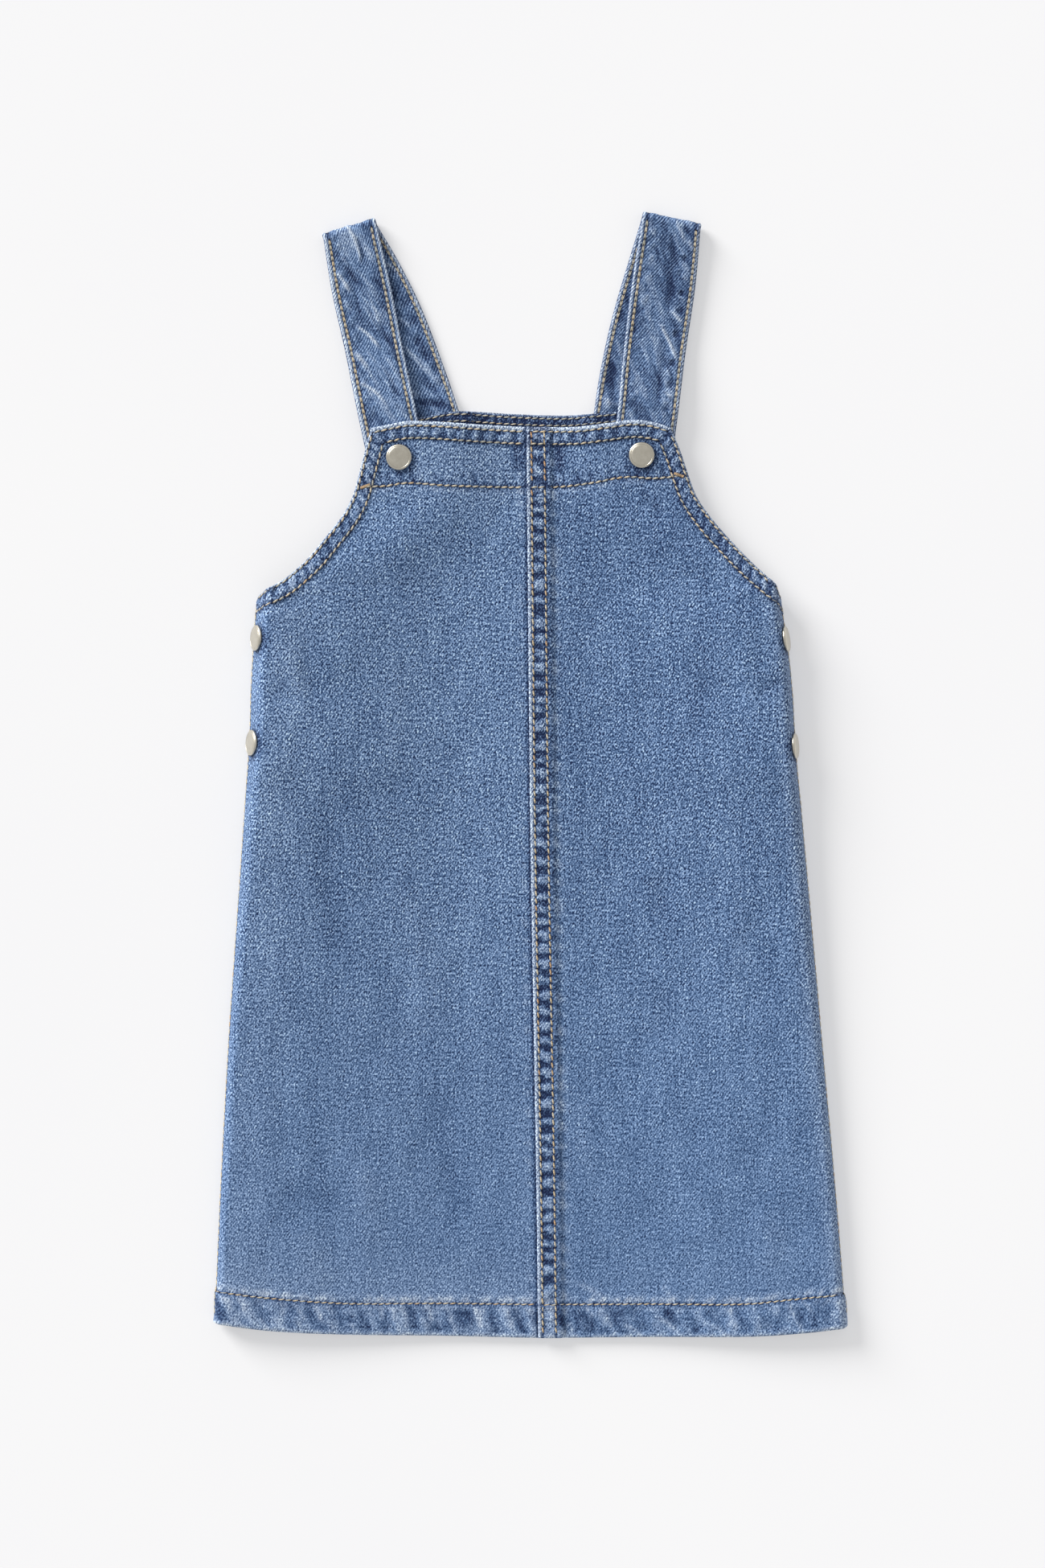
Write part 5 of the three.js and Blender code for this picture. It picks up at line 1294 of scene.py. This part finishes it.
    def bartack(self, shell, centre, length, angle, tone=0.1):
        """A dense bar of short stitches side by side."""
        ux, uy = math.cos(angle), math.sin(angle)
        for s in np.arange(-length / 2, length / 2 + 0.01, 0.55):
            p, y = centre[0] + ux * s, centre[1] + uy * s
            a, normal = shell.place(p + uy * 0.85, y - ux * 0.85, "outer")
            b, _ = shell.place(p - uy * 0.85 + ux * 0.3, y + ux * 0.85 + uy * 0.3, "outer")
            self.stitch(a + normal * 0.1, b + normal * 0.1, normal, tone + self.random.uniform(0, 0.12), 0.3)

    def build(self, materials):
        mesh = bpy.data.meshes.new(self.name)
        mesh.from_pydata([tuple(q * MM) for q in self.points], [], self.faces)
        mesh.polygons.foreach_set("material_index", self.kinds)
        mesh.polygons.foreach_set("use_smooth", np.ones(len(self.faces), bool))
        tone = mesh.attributes.new("tone", "FLOAT", "POINT")
        tone.data.foreach_set("value", np.array(self.tones, np.float32))
        uv = mesh.uv_layers.new(name="cut")
        corners = np.zeros(len(mesh.loops), int)
        mesh.loops.foreach_get("vertex_index", corners)
        uv.data.foreach_set("uv", np.array(self.uvs, np.float32)[corners].ravel())
        for material in materials:
            mesh.materials.append(material)
        mesh.update()
        piece = bpy.data.objects.new(self.name, mesh)
        bpy.context.scene.collection.objects.link(piece)
        return piece


def set_in(line, inwards):
    """A line drawn beside another, on its left as it runs."""
    line = np.asarray(line, float)
    step = np.gradient(line, axis=0)
    step /= np.hypot(step[:, 0], step[:, 1])[:, None]
    return line + np.column_stack([-step[:, 1], step[:, 0]]) * inwards


def armhole_line(rows, side, inwards):
    y = steps(rows[0][0], rows[0][-1], 0.5)
    line = np.stack([side["sign"] * smooth(rows, side["column"], y), y], axis=1)
    return set_in(line, inwards * side["sign"])


def stitch_front(shell, side):
    work = Stitching(f"stitches_front_{side['name']}", 201 if side is LEFT else 202)
    sign = side["sign"]
    fold_end = lambda y: float(fold_at(side, y)["start"] + fold_at(side, y)["length"])
    seam_edge = 1.2 if side is RIGHT else -1.3
    far = sign * (fold_end(-255.0) - 2.4)
    inner = float(seam_x(-257.0)) + seam_edge
    x = steps(inner, far, 1.0)
    work.row(shell, np.column_stack([x, smooth(HEM, 2, np.clip(x, HEM[0][0], HEM[0][-1]))]),
             gold=0.55, radius=0.34)
    if side is RIGHT:
        for offset in (2.3, 8.7):
            for low, high, gold in ((-272, 139.5, 0.5), (140.5, 168.2, 0.22)):
                y = steps(low, high, 1.0)
                work.row(shell, np.column_stack([seam_x(y) + offset, y]), gold=gold)
    for inwards, keep_top in ((1.3, 2.5), (7.5, 8.4)):
        line = armhole_line(ARMHOLES, side, inwards)
        keep = smooth(BIB_TOP, 1, line[:, 0]) - line[:, 1] > keep_top
        work.row(shell, line[keep], gold=0.75)
    arm_y = steps(ARMHOLES[0][0], ARMHOLES[0][-1], 0.5)
    arm = np.stack([sign * smooth(ARMHOLES, side["column"], arm_y), arm_y], axis=1)
    for inwards, keep_arm in ((2.3, 1.3), (8.2, 7.5)):
        x = steps(float(seam_x(168.0)) + seam_edge, sign * 80.0, 0.5)
        line = np.column_stack([x, smooth(BIB_TOP, 1, x) - inwards])
        away, _ = line_distance(arm, line[:, 0], line[:, 1])
        inside = np.abs(line[:, 0]) < smooth(ARMHOLES, side["column"], line[:, 1])
        work.row(shell, line[(away > keep_arm) & inside], gold=0.75)
    end_x = FACING_LINE[0][0] + 1.5 if side is LEFT else FACING_LINE[0][-1] - 1.5
    x = steps(float(seam_x(140.0)) + seam_edge, end_x, 1.0)
    work.row(shell, np.column_stack([x, smooth(FACING_LINE, 1, x)]), gold=0.75)
    tip = float(smooth(FACING_LINE, 1, end_x))
    work.bartack(shell, (end_x - sign * 1.6, tip + 0.2), 4.8, math.atan2(0.35, -sign))
    y = steps(-262, 82, 1.0)
    fold = fold_at(side, y)
    work.row(shell, np.column_stack([sign * (fold["start"] + fold["length"] - 2.4), y]), gold=0.6)
    return work


def stitch_back(shell):
    work = Stitching("stitches_back", 203)
    x = steps(-150, 150, 1.0)
    work.row(shell, np.column_stack([x, smooth(HEM, 2, x)]), gold=0.7, sink=0.12)
    for side in (LEFT, RIGHT):
        for inwards, keep_top in ((1.3, 2.5), (7.5, 8.4)):
            line = armhole_line(BACK_ARMHOLES, side, inwards)
            keep = smooth(BACK_TOP, 1, line[:, 0]) - line[:, 1] > keep_top
            work.row(shell, line[keep], gold=0.45, sink=0.12)
    arms = [armhole_line(BACK_ARMHOLES, side, 0) for side in (LEFT, RIGHT)]
    for inwards, keep_arm in ((2.3, 1.3), (8.2, 7.5)):
        x = steps(-72, 65, 0.5)
        line = np.column_stack([x, smooth(BACK_TOP, 1, x) - inwards])
        away = np.minimum(*(line_distance(arm, line[:, 0], line[:, 1])[0] for arm in arms))
        out = np.where(x < 0, smooth(BACK_ARMHOLES, 1, line[:, 1]), smooth(BACK_ARMHOLES, 2, line[:, 1]))
        work.row(shell, line[(away > keep_arm) & (np.abs(x) < out)], gold=0.45, sink=0.12)
    return work


def stitch_facing(shell):
    work = Stitching("stitches_back_top", 204)
    for inwards in (1.3, 4.6):
        x = steps(-66, 60, 1.0)
        line = np.column_stack([x, smooth(BACK_TOP, 1, x) - FACING_SET_BACK - inwards])
        work.row(shell, line, gold=0.95, radius=0.36)
    return work


def stitch_strap(shell, side):
    work = Stitching(f"stitches_strap_{side['name']}", 205 if side is LEFT else 206)
    stretches = (("outer", 3, shell.shoulder - 5, 0.22), ("outer", shell.shoulder - 5, shell.length - 3, 0.0),
                 ("inner", 3, shell.shoulder - 4, 0.0), ("inner", shell.shoulder + 4, shell.length - 3, 0.1))
    for face, low, high, sink in stretches:
        v = steps(low, high, 2.0)
        for row, u in enumerate(strap_rows(side, shell.width, v, shell.shoulder)):
            gold = 0.55 if side is LEFT and row == 0 else 0.8
            work.chain(shell, np.column_stack([u, v]), face, gold=gold, sink=sink)
    return work


# ---------------------------------------------------------------- snaps

CAP_RADIUS = 6.25
POST_RADIUS = 1.8


def pick_faces(mesh, test):
    """Selects the faces, in edit mode, that a test of their centre and normal takes."""
    bpy.ops.mesh.select_all(action="DESELECT")
    bpy.ops.object.mode_set(mode="OBJECT")
    for face in mesh.polygons:
        face.select = bool(test(face.center, face.normal))
    bpy.ops.object.mode_set(mode="EDIT")


def model_snap_cap(depth):
    """A plain domed cap with a rolled rim, a fine rim line, and the post that goes through the cloth."""
    bpy.ops.object.select_all(action="DESELECT")
    bpy.ops.mesh.primitive_cylinder_add(vertices=56, radius=CAP_RADIUS * MM, depth=0.95 * MM,
                                        location=(0, 0, (GAP + 0.475) * MM))
    cap = bpy.context.object
    bpy.ops.object.transform_apply(location=True, rotation=True, scale=True)
    bpy.ops.object.mode_set(mode="EDIT")
    bpy.ops.mesh.select_mode(type="FACE")
    middle_z = (GAP + 0.475) * MM
    pick_faces(cap.data, lambda at, normal: normal.z > 0.9)
    bpy.ops.mesh.inset(thickness=0.5 * MM, depth=0.28 * MM)
    bpy.ops.mesh.inset(thickness=0.42 * MM, depth=0.12 * MM)
    bpy.ops.mesh.inset(thickness=0.14 * MM, depth=-0.1 * MM)
    bpy.ops.mesh.inset(thickness=0.14 * MM, depth=0.12 * MM)
    for thickness, rise in ((0.9, 0.07), (1.1, 0.05), (1.2, 0.03), (1.0, 0.015)):
        bpy.ops.mesh.inset(thickness=thickness * MM, depth=rise * MM)
    pick_faces(cap.data, lambda at, normal: normal.z < -0.9)
    bpy.ops.mesh.inset(thickness=(CAP_RADIUS - POST_RADIUS) * MM, depth=0.0)
    bpy.ops.mesh.extrude_region_move(TRANSFORM_OT_translate={"value": (0, 0, -(depth + GAP) * MM)})
    bpy.ops.mesh.select_all(action="DESELECT")
    bpy.ops.mesh.select_mode(type="EDGE")
    bpy.ops.object.mode_set(mode="OBJECT")
    for edge in cap.data.edges:
        a, b = (cap.data.vertices[k].co for k in edge.vertices)
        rim = min(math.hypot(a.x, a.y), math.hypot(b.x, b.y)) > (CAP_RADIUS - 0.05) * MM
        edge.select = rim and abs(a.z - b.z) < 1e-6
    bpy.ops.object.mode_set(mode="EDIT")
    bpy.ops.mesh.bevel(offset=0.3 * MM, segments=3, affect="EDGES")
    bpy.ops.mesh.select_all(action="SELECT")
    bpy.ops.mesh.normals_make_consistent(inside=False)
    bpy.ops.object.mode_set(mode="OBJECT")
    bpy.ops.object.shade_smooth_by_angle(angle=math.radians(40))
    return cap


def stud_frame(side, p, y):
    """The place of a snap on the front's outer face, as a matrix in metres."""
    at = lambda dp, dy: np.array([*(float(k) for k in front_point(side, np.array(p + dp), np.array(y + dy)))])
    spot = lambda dp, dy: Vector((at(dp, dy)[0], y + dy, at(dp, dy)[1]))
    along = spot(1, 0) - spot(-1, 0)
    normal = along.cross(spot(0, 4) - spot(0, -4)).normalized()
    origin = (spot(0, 0) + normal * (CLOTH / 2)) * MM
    return Matrix.Translation(origin) @ normal.to_track_quat("Z", "Y").to_matrix().to_4x4()


# ---------------------------------------------------------------- the dress


def dress_piece(piece, slot, *nodes):
    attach(piece, "root")
    if nodes:
        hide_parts(*nodes)
    return piece


def lay_sheet(piece, shell):
    width, length, area = shell.size()
    width, length = round(width, 4), round(length, 4)


def make_dress():
    body_denim = denim("washed_denim", 117.0, 0.0, 24.0)
    strap_denim = denim("strap_denim", 123.0, 0.1, 0.0, 1.5, 0.55)
    inner_denim = denim("facing_denim", 86.0, 0.2, 10.0)
    stitch_materials = [thread(), needle_hole_shade()]
    metal = nickel()

    back = back_shell()
    back_piece = dress_piece(back.build([body_denim]), "denim", "back_panel")
    back_stitches = dress_piece(stitch_back(back).build(stitch_materials), None)
    lay_sheet(back_piece, back)

    facing = facing_shell()
    facing_piece = dress_piece(facing.build([inner_denim]), "denim_inside", "back_facing")
    facing_stitches = dress_piece(stitch_facing(facing).build(stitch_materials), None)
    lay_sheet(facing_piece, facing)

    for side in (LEFT, RIGHT):
        name = side["name"]
        strap = strap_shell(side)
        strap_piece = dress_piece(strap.build([strap_denim]), "denim_strap", f"strap_{name}")
        strap_stitches = dress_piece(stitch_strap(strap, side).build(stitch_materials), None)
        lay_sheet(strap_piece, strap)
        front = front_shell(side)
        front_piece = dress_piece(front.build([body_denim]), "denim", f"front_panel_{name}")
        front_stitches = dress_piece(stitch_front(front, side).build(stitch_materials), None)
        lay_sheet(front_piece, front)

    ring = CLOTH + GAP + 0.9 + GAP
    depths = {"front": ring + STRAP, "side": ring + CLOTH}
    models = {kind: model_snap_cap(depth) for kind, depth in depths.items()}
    for name, side, p, y in stud_places():
        cap = bpy.data.objects.new(f"cap_{name}", models[name.split("_")[0]].data.copy())
        cap.data.transform(stud_frame(side, p, y))
        cap.data.materials.clear()
        cap.data.materials.append(metal)
        bpy.context.scene.collection.objects.link(cap)
        dress_piece(cap, "snap_metal", f"snap_cap_{name}")
        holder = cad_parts[f"snap_ring_{name}"]
        for slot in holder.material_slots:
            slot.material = metal
    for model in models.values():
        bpy.data.objects.remove(model)


def make_table():
    bpy.ops.object.select_all(action="DESELECT")
    bpy.ops.mesh.primitive_plane_add(size=6, location=(0, 0, -0.0002))
    floor = bpy.context.object
    floor.name = "floor"
    bpy.ops.object.transform_apply(location=True, rotation=True, scale=True)
    floor.data.materials.append(table_top())


set_camera()
set_lights()
make_table()
make_dress()
